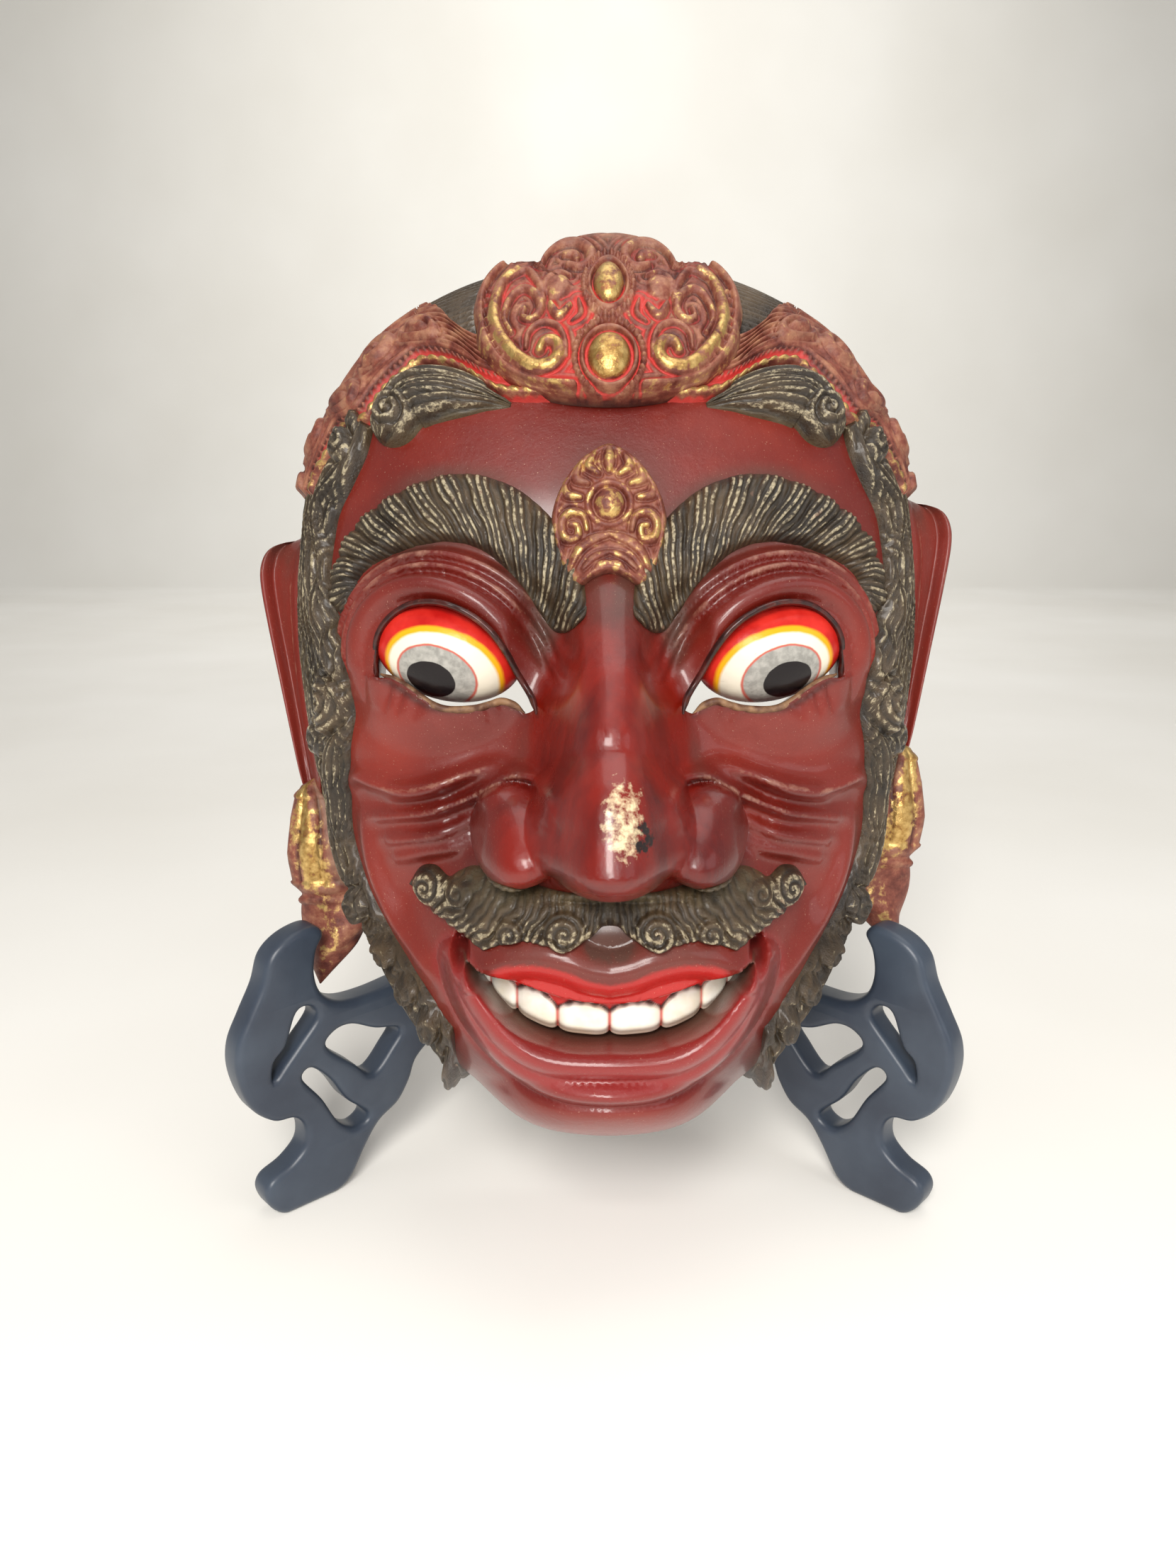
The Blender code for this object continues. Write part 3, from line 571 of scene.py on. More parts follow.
def patch_group():
    """Node group: worn or dusty patches of a given size that spread with Amount."""
    group = bpy.data.node_groups.new("worn_patches", "ShaderNodeTree")
    for name, value in (("Size", 300.0), ("Amount", 0.5), ("Edge", 6.0)):
        socket = group.interface.new_socket(name, in_out="INPUT", socket_type="NodeSocketFloat")
        socket.default_value = value
    group.interface.new_socket("Mask", in_out="OUTPUT", socket_type="NodeSocketFloat")
    given, put = group.nodes.new("NodeGroupInput"), group.nodes.new("NodeGroupOutput")
    place = shade(group, "TexCoord").outputs["Object"]
    cloud = shade(group, "TexNoise", Vector=place, Scale=given.outputs["Size"], Detail=4.0, Roughness=0.62)
    over = shade(group, "Math", {"operation": "MULTIPLY_ADD"}, _0=given.outputs["Amount"], _1=0.7, _2=-0.85)
    total = shade(group, "Math", {"operation": "ADD"}, _0=cloud.outputs[0], _1=over.outputs[0])
    sharp = shade(group, "Math", {"operation": "MULTIPLY", "use_clamp": True},
                  _0=total.outputs[0], _1=given.outputs["Edge"])
    group.links.new(sharp.outputs[0], put.inputs["Mask"])
    return group


worn_patches = patch_group()


def patches(mat, size, amount, edge=6.0):
    """Mask of worn patches, from 0 where Amount is 0 to 1 where it is 1."""
    node = mat.node_tree.nodes.new("ShaderNodeGroup")
    node.node_tree = worn_patches
    node.inputs["Size"].default_value = size
    node.inputs["Edge"].default_value = edge
    if isinstance(amount, bpy.types.NodeSocket):
        mat.node_tree.links.new(amount, node.inputs["Amount"])
    else:
        node.inputs["Amount"].default_value = amount
    return node.outputs["Mask"]


def carved_mark(mat, name):
    """One of the values kept on the vertices."""
    return shade(mat, "Attribute", {"attribute_name": name}).outputs["Fac"]


def layer(mat, under, over, mask):
    """One coat of paint over another where the mask says."""
    node = shade(mat, "Mix", {"data_type": "RGBA"}, _0=mask)
    for socket, value in ((node.inputs[6], under), (node.inputs[7], over)):
        if isinstance(value, bpy.types.NodeSocket):
            mat.node_tree.links.new(value, socket)
        else:
            socket.default_value = (*value, 1.0)
    return node.outputs[2]


def times(mat, a, b, operation="MULTIPLY", clamp=True):
    """Product of two values, or their sum or difference."""
    return shade(mat, "Math", {"operation": operation, "use_clamp": clamp}, _0=a, _1=b).outputs[0]


def graded(mat, value, start, end, low=0.0, high=1.0):
    """A value that goes from start to end while the one given goes from low to high."""
    return shade(mat, "MapRange", Value=value, From_Min=low, From_Max=high,
                 To_Min=start, To_Max=end).outputs[0]


def coats(mat, colour, *rows):
    """Coats of paint over a ground, each with its colour, where it lies and how strongly."""
    for paint, mask, *strength in rows:
        colour = layer(mat, colour, paint, times(mat, mask, *strength) if strength else mask)
    return colour


lacquer_mat, lacquer = finish_of("mask_lacquer")
colour = ramp(lacquer_mat, noise(lacquer_mat, 26.0, 4.0),
              (0.32, srgb(86, 14, 7)), (0.55, srgb(108, 23, 13)), (0.72, srgb(130, 38, 24)))
haze = carved_mark(lacquer_mat, "haze")
cloudy = graded(lacquer_mat, noise(lacquer_mat, 90.0, 5.0, 0.65), 0.35, 1.0, 0.3, 0.65)
dust = times(lacquer_mat, carved_mark(lacquer_mat, "dust"), cloudy)
rubbed = patches(lacquer_mat, 200.0, carved_mark(lacquer_mat, "pale"), 2.2)
grit = times(lacquer_mat, times(lacquer_mat, noise(lacquer_mat, 2400.0, 2.0), 0.68, "SUBTRACT"), 12.0)
gloss_nose = carved_mark(lacquer_mat, "nose")
deep = ramp(lacquer_mat, noise(lacquer_mat, 60.0, 4.0, 0.6, (1.0, 1.0, 0.35)),
            (0.35, srgb(78, 5, 3)), (0.6, srgb(128, 22, 9)))
stain = patches(lacquer_mat, 420.0, carved_mark(lacquer_mat, "stain"), 9.0)
# Cream patch on the nose tip, partly wear and partly a painted highlight.
bare = patches(lacquer_mat, 520.0, times(lacquer_mat, carved_mark(lacquer_mat, "worn"), 0.8), 4.0)
colour = coats(lacquer_mat, colour,
               (srgb(156, 52, 38), haze, 0.5),
               (srgb(144, 38, 36), carved_mark(lacquer_mat, "lip"), 0.6),
               # dust in the recesses, and painted shade under the moustache's parting
               (srgb(80, 54, 44), dust, 0.88),
               # painted shade in the lip crease, the mouth corners, along the lower lid and in the nostrils
               (srgb(30, 16, 12), carved_mark(lacquer_mat, "dark"), 0.85),
               (srgb(186, 140, 118), rubbed, 0.8),
               (srgb(184, 28, 24), carved_mark(lacquer_mat, "red")),
               (srgb(92, 72, 58), carved_mark(lacquer_mat, "ledge"), 0.92),
               (srgb(205, 165, 140), grit, 0.55),
               (deep, gloss_nose, 0.95),
               (srgb(26, 10, 8), stain),
               (srgb(236, 214, 172), bare))
rough = graded(lacquer_mat, haze, 0.34, 0.52)
rough = times(lacquer_mat, rough, times(lacquer_mat, gloss_nose, 0.16), "SUBTRACT")
rough = times(lacquer_mat, rough, times(lacquer_mat, dust, 0.3), "ADD")
finished(lacquer_mat, lacquer, colour, rough, noise(lacquer_mat, 420.0, 8.0, 0.72), 0.36, 0.0007)
lacquer.inputs["Specular IOR Level"].default_value = 0.4
lacquer.inputs["Coat Weight"].default_value = 0.5
lacquer.inputs["Coat Roughness"].default_value = 0.16

wood_mat, wood = finish_of("bare_wood")
grain = noise(wood_mat, 55.0, 6.0, 0.65, (9.0, 1.0, 0.55))
colour = ramp(wood_mat, grain,
              (0.3, srgb(96, 66, 42)), (0.5, srgb(140, 102, 68)), (0.7, srgb(168, 130, 92)))
colour = coats(wood_mat, colour, (srgb(70, 48, 36), patches(wood_mat, 30.0, 0.5, 2.0), 0.4))
finished(wood_mat, wood, colour, 0.72, grain, 0.35, 0.0008)

block = bpy.data.objects.new("mask_block", block_mesh)
bpy.context.scene.collection.objects.link(block)
block.data.materials.append(lacquer_mat)
block.data.materials.append(wood_mat)
hole_mesh = bpy.data.meshes.new("eye_holes")
both = bmesh.new()
for side in (-1, 1):
    one = eye_hole(side)
    one.to_mesh(hole_mesh)
    both.from_mesh(hole_mesh)
    one.free()
both.to_mesh(hole_mesh)
both.free()
holes = bpy.data.objects.new("eye_holes", hole_mesh)
bpy.context.scene.collection.objects.link(holes)
cut = block.modifiers.new("eye_holes", "BOOLEAN")
cut.operation, cut.solver, cut.object = "DIFFERENCE", "EXACT", holes
select_only(block)
bpy.ops.object.modifier_apply(modifier="eye_holes")
bpy.data.objects.remove(holes, do_unlink=True)
block.data.transform(MASK_TO_WORLD)
block.data.shade_smooth()
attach(block, "root")
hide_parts("mask")


# ---------------------------------------------------------------------------
# Lids. The edge of each upper lid is a thin rolled bead, carved with the block
# and lined in dark lacquer; it runs past the inner corner towards the nose.
# ---------------------------------------------------------------------------
SIDES = ((-1, "left"), (1, "right"))


def lofted(name, front, back, marks=None):
    """Closed mesh from rows of front points and the few points behind each row."""
    rows, across = front.shape[:2]
    under = back.shape[1]
    ring = np.concatenate([front, back[:, ::-1]], axis=1)
    index = np.arange(ring.shape[0] * ring.shape[1]).reshape(rows, across + under)
    after = np.roll(index, -1, axis=1)
    faces = np.stack([index[:-1], after[:-1], after[1:], index[1:]], axis=-1).reshape(-1, 4).tolist()
    for row in (index[0], index[-1]):
        face, below, j = row[:across], row[across:][::-1], 0
        for i in range(across - 1):
            faces.append([face[i], face[i + 1], below[j]])
            while j < round((i + 1) / (across - 1) * (under - 1)):
                faces.append([face[i + 1], below[j + 1], below[j]])
                j += 1
    mesh = bpy.data.meshes.new(name)
    mesh.from_pydata(ring.reshape(-1, 3).tolist(), [], faces)
    bm = bmesh.new()
    bm.from_mesh(mesh)
    bmesh.ops.recalc_face_normals(bm, faces=bm.faces)
    bm.to_mesh(mesh)
    bm.free()
    for label, values in (marks or {}).items():
        full = np.zeros((rows, across + under), dtype=np.float32)
        full[:, :across] = values
        mesh.attributes.new(label, "FLOAT", "POINT").data.foreach_set("value", full.ravel())
    return mesh


def mask_piece(name, mesh, mat):
    """A finished piece of the mask, in its place in the world."""
    mesh.transform(MASK_TO_WORLD)
    mesh.shade_smooth()
    mesh.materials.append(mat)
    made = bpy.data.objects.new(name, mesh)
    bpy.context.scene.collection.objects.link(made)
    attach(made, "root")
    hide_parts("mask")


def ribbon(points, step):
    """Even steps along a smooth line: its points, the rest of each row, its side and its length."""
    line = flow(points, 16)
    length = np.concatenate([[0.0], np.cumsum(np.hypot(*np.diff(line[:, :2], axis=0).T))])
    places = np.linspace(0.0, length[-1], max(int(length[-1] / step), 4))
    line = np.stack([np.interp(places, length, line[:, k]) for k in range(line.shape[1])], axis=-1)
    run = np.gradient(line[:, :2], axis=0)
    run /= np.linalg.norm(run, axis=1, keepdims=True)
    side = np.stack([-run[:, 1], run[:, 0]], axis=-1)
    return line[:, :2], line[:, 2:], side, places


def buried(radius, angle, every):
    """A few points of each row again, just under the face, that close a strip behind."""
    radius, angle = radius[:, ::every], angle[:, ::every]
    return carved(radius, angle, np.full_like(radius, -3.0))


def mirrored(side, points):
    """Points for the left (-1) or right (1) half of the face."""
    return points * np.array([side, 1.0, 1.0])


def mask_pair(name, front, back, marks, mat):
    """The same carved strip on both sides of the face."""
    for side, word in SIDES:
        strip = lofted(name, mirrored(side, front), mirrored(side, back), marks)
        mask_piece(f"{name}_{word}", strip, mat)


EYE_CENTRE, EYE_TILT, EYE_LONG, EYE_HIGH = (40.5, 132.0), math.radians(15.4), 19.5, 13.0
EYE_BACK, EYE_DEEP, EYE_TURN = 60.5, 13.5, 0.15


def ball_front(x, v):
    """Front of the eyeball behind a lid."""
    dx, dv = x - EYE_CENTRE[0], v - EYE_CENTRE[1]
    along = (dx * math.cos(EYE_TILT) + dv * math.sin(EYE_TILT)) / EYE_LONG
    up = (dv * math.cos(EYE_TILT) - dx * math.sin(EYE_TILT)) / EYE_HIGH
    bulge = np.sqrt(np.clip(1.0 - along ** 2 - up ** 2, 0.0, None))
    return EYE_BACK + EYE_DEEP * bulge - EYE_TURN * dx


lid_mat, lid_line = finish_of("lid_lining")
colour = ramp(lid_mat, noise(lid_mat, 300.0), (0.4, srgb(38, 14, 12)), (0.65, srgb(78, 28, 22)))
colour = coats(lid_mat, colour, (srgb(150, 104, 84), patches(lid_mat, 260.0, 0.3, 6.0), 0.6))
finished(lid_mat, lid_line, colour, 0.3, noise(lid_mat, 500.0), 0.3, 0.0003)

rim_mat, rim = finish_of("rubbed_rim")
colour = ramp(rim_mat, noise(rim_mat, 260.0, 4.0),
              (0.4, srgb(92, 58, 42)), (0.62, srgb(152, 116, 84)))
finished(rim_mat, rim, colour, 0.6, noise(rim_mat, 500.0), 0.4, 0.0004)

for part, line, outward, fat_x, fat_w, lift, paint in (
        ("lid_bead", [(60.8, 119.5), *LID_LINE, (17.6, 115.4)], -1.6, 0.85, 1.5, 0.7, lid_mat),
        ("lower_lid", [(57.4, 125.6), *LOWER_LID], 1.3, 0.95, 1.3, -0.2, rim_mat)):
    centre, _, across, _ = ribbon(line, 0.4)
    turn = np.linspace(0.0, 2 * math.pi, 15)[:-1]
    count = np.arange(len(centre))
    fat = (0.3 + 0.7 * ease(0, 10, count) * ease(len(centre), len(centre) - 10, count))[:, None]
    out = centre + across * outward
    over_ball = ball_front(centre[:, 0], centre[:, 1]) * (outward < 0)
    edge = np.maximum(on_face(out[:, 0], out[:, 1])[:, 2], over_ball)[:, None]
    edge = edge + lift + 0.15 * waver(centre[:, :1], centre[:, 1:], 1.5, 4.0)
    tube = np.stack([centre[:, :1] + across[:, :1] * np.cos(turn) * fat_x * fat,
                     centre[:, 1:] + across[:, 1:] * np.cos(turn) * fat_x * fat,
                     edge + np.sin(turn) * fat_w * fat], axis=-1)
    mask_pair(part, tube[:, :8], tube[:, 8:][:, ::-1], None, paint)


# ---------------------------------------------------------------------------
# Eyes. Each ball is carved in place behind its lid, with a see-through slit
# under it, then gessoed and painted: red, yellow, white, grey iris, black pupil.
# ---------------------------------------------------------------------------
PAINT_SCALE, WOBBLE = 100, 0.006
eye_mat, eye_shader = finish_of("eye_paint")
painted_at = shade(eye_mat, "UVMap").outputs[0]
unsteady = shade(eye_mat, "TexNoise", Vector=painted_at, Scale=26.0, Detail=2.0).outputs[1]
painted_at = shade(eye_mat, "VectorMath", {"operation": "MULTIPLY_ADD"},
                   _0=unsteady, _1=(WOBBLE, WOBBLE, 0.0), _2=painted_at).outputs[0]


def oval(centre, radii, tilt, soft=0.03):
    """Mask of a tilted painted oval, 1 inside it."""
    node = shade(eye_mat, "Mapping", {"vector_type": "TEXTURE"}, Vector=painted_at)
    middle = [place / PAINT_SCALE + WOBBLE / 2 for place in centre]
    node.inputs["Location"].default_value = (*middle, 0.0)
    node.inputs["Rotation"].default_value = (0.0, 0.0, math.radians(tilt))
    node.inputs["Scale"].default_value = (radii[0] / PAINT_SCALE, radii[1] / PAINT_SCALE, 1.0)
    out = shade(eye_mat, "VectorMath", {"operation": "LENGTH"}, _0=node.outputs[0]).outputs["Value"]
    return graded(eye_mat, out, 1.0, 0.0, 1.0 - soft, 1.0 + soft)


iris_colour = ramp(eye_mat, noise(eye_mat, 500.0, 4.0),
                   (0.4, srgb(150, 148, 142)), (0.65, srgb(182, 179, 172)))
colour = ramp(eye_mat, noise(eye_mat, 120.0), (0.35, srgb(186, 24, 20)), (0.65, srgb(218, 48, 38)))
colour = coats(eye_mat, colour,
               (srgb(238, 174, 26), oval((40.6, 126.4), (15.2, 9.8), 17)),
               (srgb(240, 233, 214), oval((40.7, 125.7), (14.1, 8.9), 17)),
               (srgb(196, 70, 56), oval((42.2, 125.0), (10.5, 6.9), 19, 0.02), 0.9),
               (iris_colour, oval((42.2, 125.0), (9.9, 6.4), 19, 0.02)),
               (srgb(26, 20, 22), oval((43.6, 124.0), (6.3, 4.0), 18, 0.02)),
               (srgb(110, 84, 56), patches(eye_mat, 380.0, 0.24, 10.0), 0.5))
colour = layer(eye_mat, srgb(90, 30, 22), colour, carved_mark(eye_mat, "front"))
finished(eye_mat, eye_shader, colour, 0.3, noise(eye_mat, 600.0, 4.0), 0.25, 0.0003)
eye_shader.inputs["Specular IOR Level"].default_value = 0.3

for side, word in SIDES:
    bpy.ops.object.select_all(action="DESELECT")
    bpy.ops.mesh.primitive_uv_sphere_add(segments=96, ring_count=64, radius=1.0)
    eye = bpy.context.object
    eye.name = f"eyeball_{word}"
    ball_points = np.array([v.co[:] for v in eye.data.vertices])
    along, up = EYE_LONG * ball_points[:, 0], EYE_HIGH * ball_points[:, 1]
    x = EYE_CENTRE[0] + along * math.cos(EYE_TILT) - up * math.sin(EYE_TILT)
    v = EYE_CENTRE[1] + along * math.sin(EYE_TILT) + up * math.cos(EYE_TILT)
    w = EYE_BACK + EYE_DEEP * ball_points[:, 2] - EYE_TURN * (x - EYE_CENTRE[0])
    eye.data.vertices.foreach_set("co", np.stack([side * x, v, w], axis=-1).ravel())
    painted = eye.data.uv_layers.active.data
    for loop in eye.data.loops:
        k = loop.vertex_index
        painted[loop.index].uv = (x[k] / PAINT_SCALE, v[k] / PAINT_SCALE)
    front_side = eye.data.attributes.new("front", "FLOAT", "POINT")
    front_side.data.foreach_set("value", ease(58.0, 62.0, w).astype(np.float32))
    if side < 0:
        eye.data.flip_normals()
    eye.data.transform(MASK_TO_WORLD)
    eye.data.shade_smooth()
    eye.data.materials.append(eye_mat)
    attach(eye, "root")
    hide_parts("mask")


# ---------------------------------------------------------------------------
# Brows. Thick swags of hair carved across with a fine veiner, painted black
# and dry-brushed cream on the ridges, rubbed down by handling.
# ---------------------------------------------------------------------------
hair_mat, hair = finish_of("painted_hair")
ridge = carved_mark(hair_mat, "ridge")
lane = shade(hair_mat, "CombineXYZ", X=carved_mark(hair_mat, "comb"),
             Y=times(hair_mat, carved_mark(hair_mat, "along"), 0.16, clamp=False)).outputs[0]
streak = shade(hair_mat, "TexNoise", Vector=lane, Scale=2.1, Detail=6.0, Roughness=0.75).outputs[0]
crest_of_lock = times(hair_mat, times(hair_mat, ridge, ridge), 0.58)
brush_reach = times(hair_mat, times(hair_mat, streak, 1.4, "MULTIPLY", False), 1.035, "SUBTRACT", False)
brush_reach = times(hair_mat, crest_of_lock, brush_reach, "ADD", False)
brushed = times(hair_mat, times(hair_mat, brush_reach, 9.0), patches(hair_mat, 800.0, 0.62, 6.0))
rosy = patches(hair_mat, 150.0, times(hair_mat, ridge, 0.36), 6.0)
dusty = patches(hair_mat, 190.0, carved_mark(hair_mat, "dust"), 2.5)
colour = ramp(hair_mat, noise(hair_mat, 70.0, 4.0), (0.35, srgb(48, 37, 24)), (0.65, srgb(88, 70, 47)))
colour = coats(hair_mat, colour,
               # painted shade, darkest in the grooves between strands
               (srgb(16, 13, 10), carved_mark(hair_mat, "hollow"), 0.75),
               (srgb(192, 178, 146), brushed, 0.9),
               (srgb(170, 126, 104), rosy, 0.6),
               (srgb(104, 92, 66), dusty, 0.6))
veins = times(hair_mat, noise(hair_mat, 800.0, 4.0, 0.7), streak, "ADD", False)
finished(hair_mat, hair, colour, 0.36, veins, 0.7, 0.0006)
hair.inputs["Coat Weight"].default_value = 0.25
hair.inputs["Coat Roughness"].default_value = 0.2


def strands(phase):
    """Rounded ridge between V-cut grooves, 0 in the groove and 1 on top."""
    return np.abs(np.sin(phase / 2.0)) ** 0.75


HAIR_STEP, BROW_HAIR, BROW_LOCK = 0.28, 1.55, 6.4
BROW = [
    (9.6, 136.6, 1.5), (10.2, 138.2, 4.6), (11.6, 143.0, 6.4), (15.0, 151.0, 7.9), (20.6, 158.2, 8.7),
    (28.0, 164.0, 9.1), (37.4, 166.7, 9.1), (47.1, 165.6, 8.2), (55.6, 162.6, 7.3), (63.0, 158.4, 5.9),
    (67.6, 152.9, 4.3), (69.2, 147.8, 3.7), (68.8, 143.3, 2.6), (68.4, 141.6, 1.2)]
centre, half, across, places = ribbon(BROW, HAIR_STEP)
lean = np.interp(places, [0, 10, 25, 40, 55, 70, 85, 95, 110],
                 [0.9, 1.5, 1.35, 0.75, 0.42, 0.4, 0.45, 0.1, -0.4])
pace = np.cumsum(1.0 / np.sqrt(1.0 + lean ** 2)) * (places[1] - places[0])
step = np.linspace(-1.0, 1.0, 54)[None, :]
offset = step * half
x = centre[:, :1] + across[:, :1] * offset
v = centre[:, 1:] + across[:, 1:] * offset
tilt = (lean / np.sqrt(1.0 + lean ** 2))[:, None]
comb = pace[:, None] - tilt * offset + 0.018 * offset ** 2 + 0.35 * waver(x, v, 3.0, 1.0)
ridge = strands(2 * math.pi * comb / BROW_HAIR)
clump = strands(2 * math.pi * (comb + 0.3 * waver(x, v, 2.0, 5.0)) / BROW_LOCK)
swell = np.clip(1.0 - np.abs(step) ** 2.6, 0.0, 1.0) ** 0.6 * (half / 9.0) ** 0.5
height = 5.4 * swell - 0.9 + (0.85 * (ridge - 0.6) + 1.4 * (clump - 0.7)) * ease(0.05, 0.5, swell)
# The grooves between strands are darkened as painted shade.
marks = {"ridge": np.clip(ridge * (0.55 + 0.45 * clump), 0, 1) * ease(0.1, 0.6, swell),
         "hollow": 1.0 - ridge, "dust": np.clip(1.0 - swell, 0.0, 1.0) ** 2,
         "comb": comb / BROW_HAIR, "along": offset}
mask_pair("brow", on_face(x, v, height), buried(*place_of(x, v), 9), marks, hair_mat)


# ---------------------------------------------------------------------------
# Moustache. One carved roll of hair under the nose, its locks cut fanwise and
# wound into curls along the lower edge and at the tips; painted as the brows.
# ---------------------------------------------------------------------------
def curl(x, v, centre, size, hand, pitch=2.2):
    """A lock wound into a curl: ridges 0 to 1, its round body, and where it covers."""
    dx, dv = x - centre[0], v - centre[1]
    r, turn = np.hypot(dx, dv), np.arctan2(dv, dx) * hand
    wound = strands(turn + 2 * math.pi * r / pitch)
    body = np.sqrt(np.clip(1.0 - (r / size) ** 2, 0.0, 1.0))
    return wound, body, ease(size + 0.2, size - 0.8, r)


def curls_over(x, v, ridge, height, curls, lift, rim_cut, rim_width=0.7):
    """Lay curls over combed hair; each is (x, v, size, hand)."""
    for cx, cv, size, hand in curls:
        wound, body, cover = curl(x, v, (cx, cv), size, hand)
        ridge = ridge * (1.0 - cover) + wound * cover
        rim = peak(np.hypot(x - cx, v - cv) - size - 0.3, rim_width)
        height = height + lift * body - rim_cut * rim
    return ridge, height


def both_ways(reach, step):
    """Even steps across the face from side to side, as one column."""
    half_run = np.arange(0.0, reach, step)
    return np.concatenate([-half_run[:0:-1], half_run])[:, None]


STACHE_REACH, STACHE_HAIR = 52.3, 1.9
STACHE_TOP = [
    (0, 75.0), (5, 75.2), (12, 74.6), (19, 75.6), (24, 77.2), (29, 78.0), (34, 77.8), (38, 76.0),
    (41, 74.2), (45, 76.6), (49, 76.0), (51.5, 72.8), (STACHE_REACH, 71.0)]
STACHE_LOW = [
    (0, 65.6), (2, 65.4), (5, 62.6), (8, 61.2), (11, 59.8), (15, 61.3), (19, 62.0), (23, 61.6),
    (27.5, 60.2), (31, 59.0), (36, 61.0), (42, 63.4), (47, 66.2), (50, 68.6), (51.8, 70.0),
    (STACHE_REACH, 70.8)]
run = both_ways(STACHE_REACH, 0.3)
upper, lower = height_of(STACHE_TOP, np.abs(run)), height_of(STACHE_LOW, np.abs(run))
step = np.linspace(-1.0, 1.0, 46)[None, :]
x = run + 0.0 * step
v = (upper + lower) / 2 + (upper - lower) / 2 * step
ax = np.abs(x)
fan = np.arctan2(ax + 0.9 * np.sin(v / 2.6), 112.0 - v) * 44.0
swirl = 0.8 * waver(ax, v, 3.6, 2.0) + 0.35 * waver(ax, v, 1.4, 4.0)
ridge = strands(2 * math.pi * (fan + swirl) / STACHE_HAIR)
swell = np.clip(1.0 - np.abs(step) ** 2.8, 0.0, 1.0) ** 0.55
swell = swell * np.interp(ax, [0, 2, 6, 38, 48, STACHE_REACH], [0.8, 0.85, 1, 1, 0.8, 0.3])
height = 5.6 * swell - 0.9 - 1.0 * peak(ax, 1.3) * swell
ridge, height = curls_over(ax, v, ridge, height, (
    (46.4, 71.8, 4.8, 1), (37.2, 72.0, 3.6, -1), (23.6, 64.2, 3.4, 1), (10.6, 65.0, 5.0, 1)), 0.8, 0.6)
clump = strands(2 * math.pi * (fan + 1.6 * swirl) / 7.6)
height = height + (0.8 * (ridge - 0.6) + 1.1 * (clump - 0.7) * ease(72, 62, v)) * ease(0.05, 0.5, swell)
brushed = 0.62 + 0.38 * np.maximum(ease(70.0, 63.0, v), ease(34, 42, ax))
# The grooves between strands are darkened as painted shade.
marks = {"ridge": ridge * ease(0.1, 0.6, swell) * brushed,
         "hollow": 1.0 - ridge, "dust": 0.3 + 0.5 * ease(66.0, 75.0, v) * ease(46, 30, ax),
         "comb": (fan + swirl) / STACHE_HAIR, "along": v}
stache_back = buried(*place_of(x, v), 9)
mask_piece("moustache", lofted("moustache", on_face(x, v, height), stache_back, marks), hair_mat)


# ---------------------------------------------------------------------------
# Teeth. One carved row set back under the upper lip, eight broad teeth with
# their gum painted red above a black scalloped line and red between them.
# ---------------------------------------------------------------------------
teeth_mat, enamel = finish_of("tooth_paint")
colour = ramp(teeth_mat, noise(teeth_mat, 140.0),
              (0.35, srgb(244, 236, 214)), (0.6, srgb(255, 252, 240)))
colour = coats(teeth_mat, colour,
               # painted shade along each tooth's lower edge, where it curls back
               (srgb(176, 120, 70), carved_mark(teeth_mat, "hollow"), 0.45),
               (srgb(200, 52, 38), carved_mark(teeth_mat, "gap"), 0.9),
               (srgb(208, 38, 32), carved_mark(teeth_mat, "gum")),
               (srgb(34, 18, 16), carved_mark(teeth_mat, "line"), 0.95))
finished(teeth_mat, enamel, colour, 0.35, noise(teeth_mat, 260.0), 0.3, 0.0005)

TOOTH_EDGES = np.array([0.0, 12.6, 22.6, 29.2, 34.0])
TEETH_REACH, TEETH_FRONT, TEETH_BACK = 33.4, 77.3, 68.5
run = both_ways(TEETH_REACH, 0.22)
ax = np.abs(run)
which = np.searchsorted(TOOTH_EDGES, ax, side="right") - 1
left_edge, right_edge = TOOTH_EDGES[which], TOOTH_EDGES[which + 1]
in_tooth = 2 * (ax - left_edge) / (right_edge - left_edge) - 1.0
bottom = np.interp(ax, [0, 12.6, 17, 22.6, 26, 29.2, 31.5, 34],
                   [37.6, 38.4, 39.8, 42.0, 44.2, 47.0, 50.0, 54.0]) + np.abs(in_tooth) ** 5
top = height_of(LIP_EDGE, ax) + 4.0
gum = np.interp(ax, [0, 6, 12.6, 17, 22.6, 26, 29.2, 31.5, 34],
                [45.4, 46.4, 45.9, 48.7, 50.0, 52.0, 52.8, 53.8, 54.8]) - 1.5 * np.abs(in_tooth) ** 3
step = np.linspace(0.0, 1.0, 40)[None, :]
v = bottom + (top - bottom) * step
x = run + 0.0 * step
bow = 1.9 * np.sqrt(np.clip(1.0 - np.abs(in_tooth) ** 3.2, 0.0, 1.0)) * ease(1.0, -1.0, v - gum)
belly = -2.2 * ease(3.0, 0.0, v - bottom) ** 2 - 0.035 * np.abs(v - gum - 1.0) * (v < gum)
w = TEETH_FRONT - 0.0095 * ax ** 2 + bow + belly - 0.7 * peak(v - gum, 0.5)
gap = peak(in_tooth + 1.0, 0.07) + peak(in_tooth - 1.0, 0.07)
# Each tooth is darkened along its lower edge as painted shade.
marks = {"gum": ease(-0.15, 0.15, v - gum), "line": peak(v - gum, 0.42 + 0.25 * np.sin(ax * 2.1)),
         "gap": np.clip(gap, 0, 1), "hollow": ease(2.2, 0.0, v - bottom)}
row_back = np.stack([x[:, ::13], v[:, ::13], np.full_like(x[:, ::13], TEETH_BACK)], axis=-1)
mask_piece("teeth", lofted("teeth", np.stack([x, v, w], axis=-1), row_back, marks), teeth_mat)


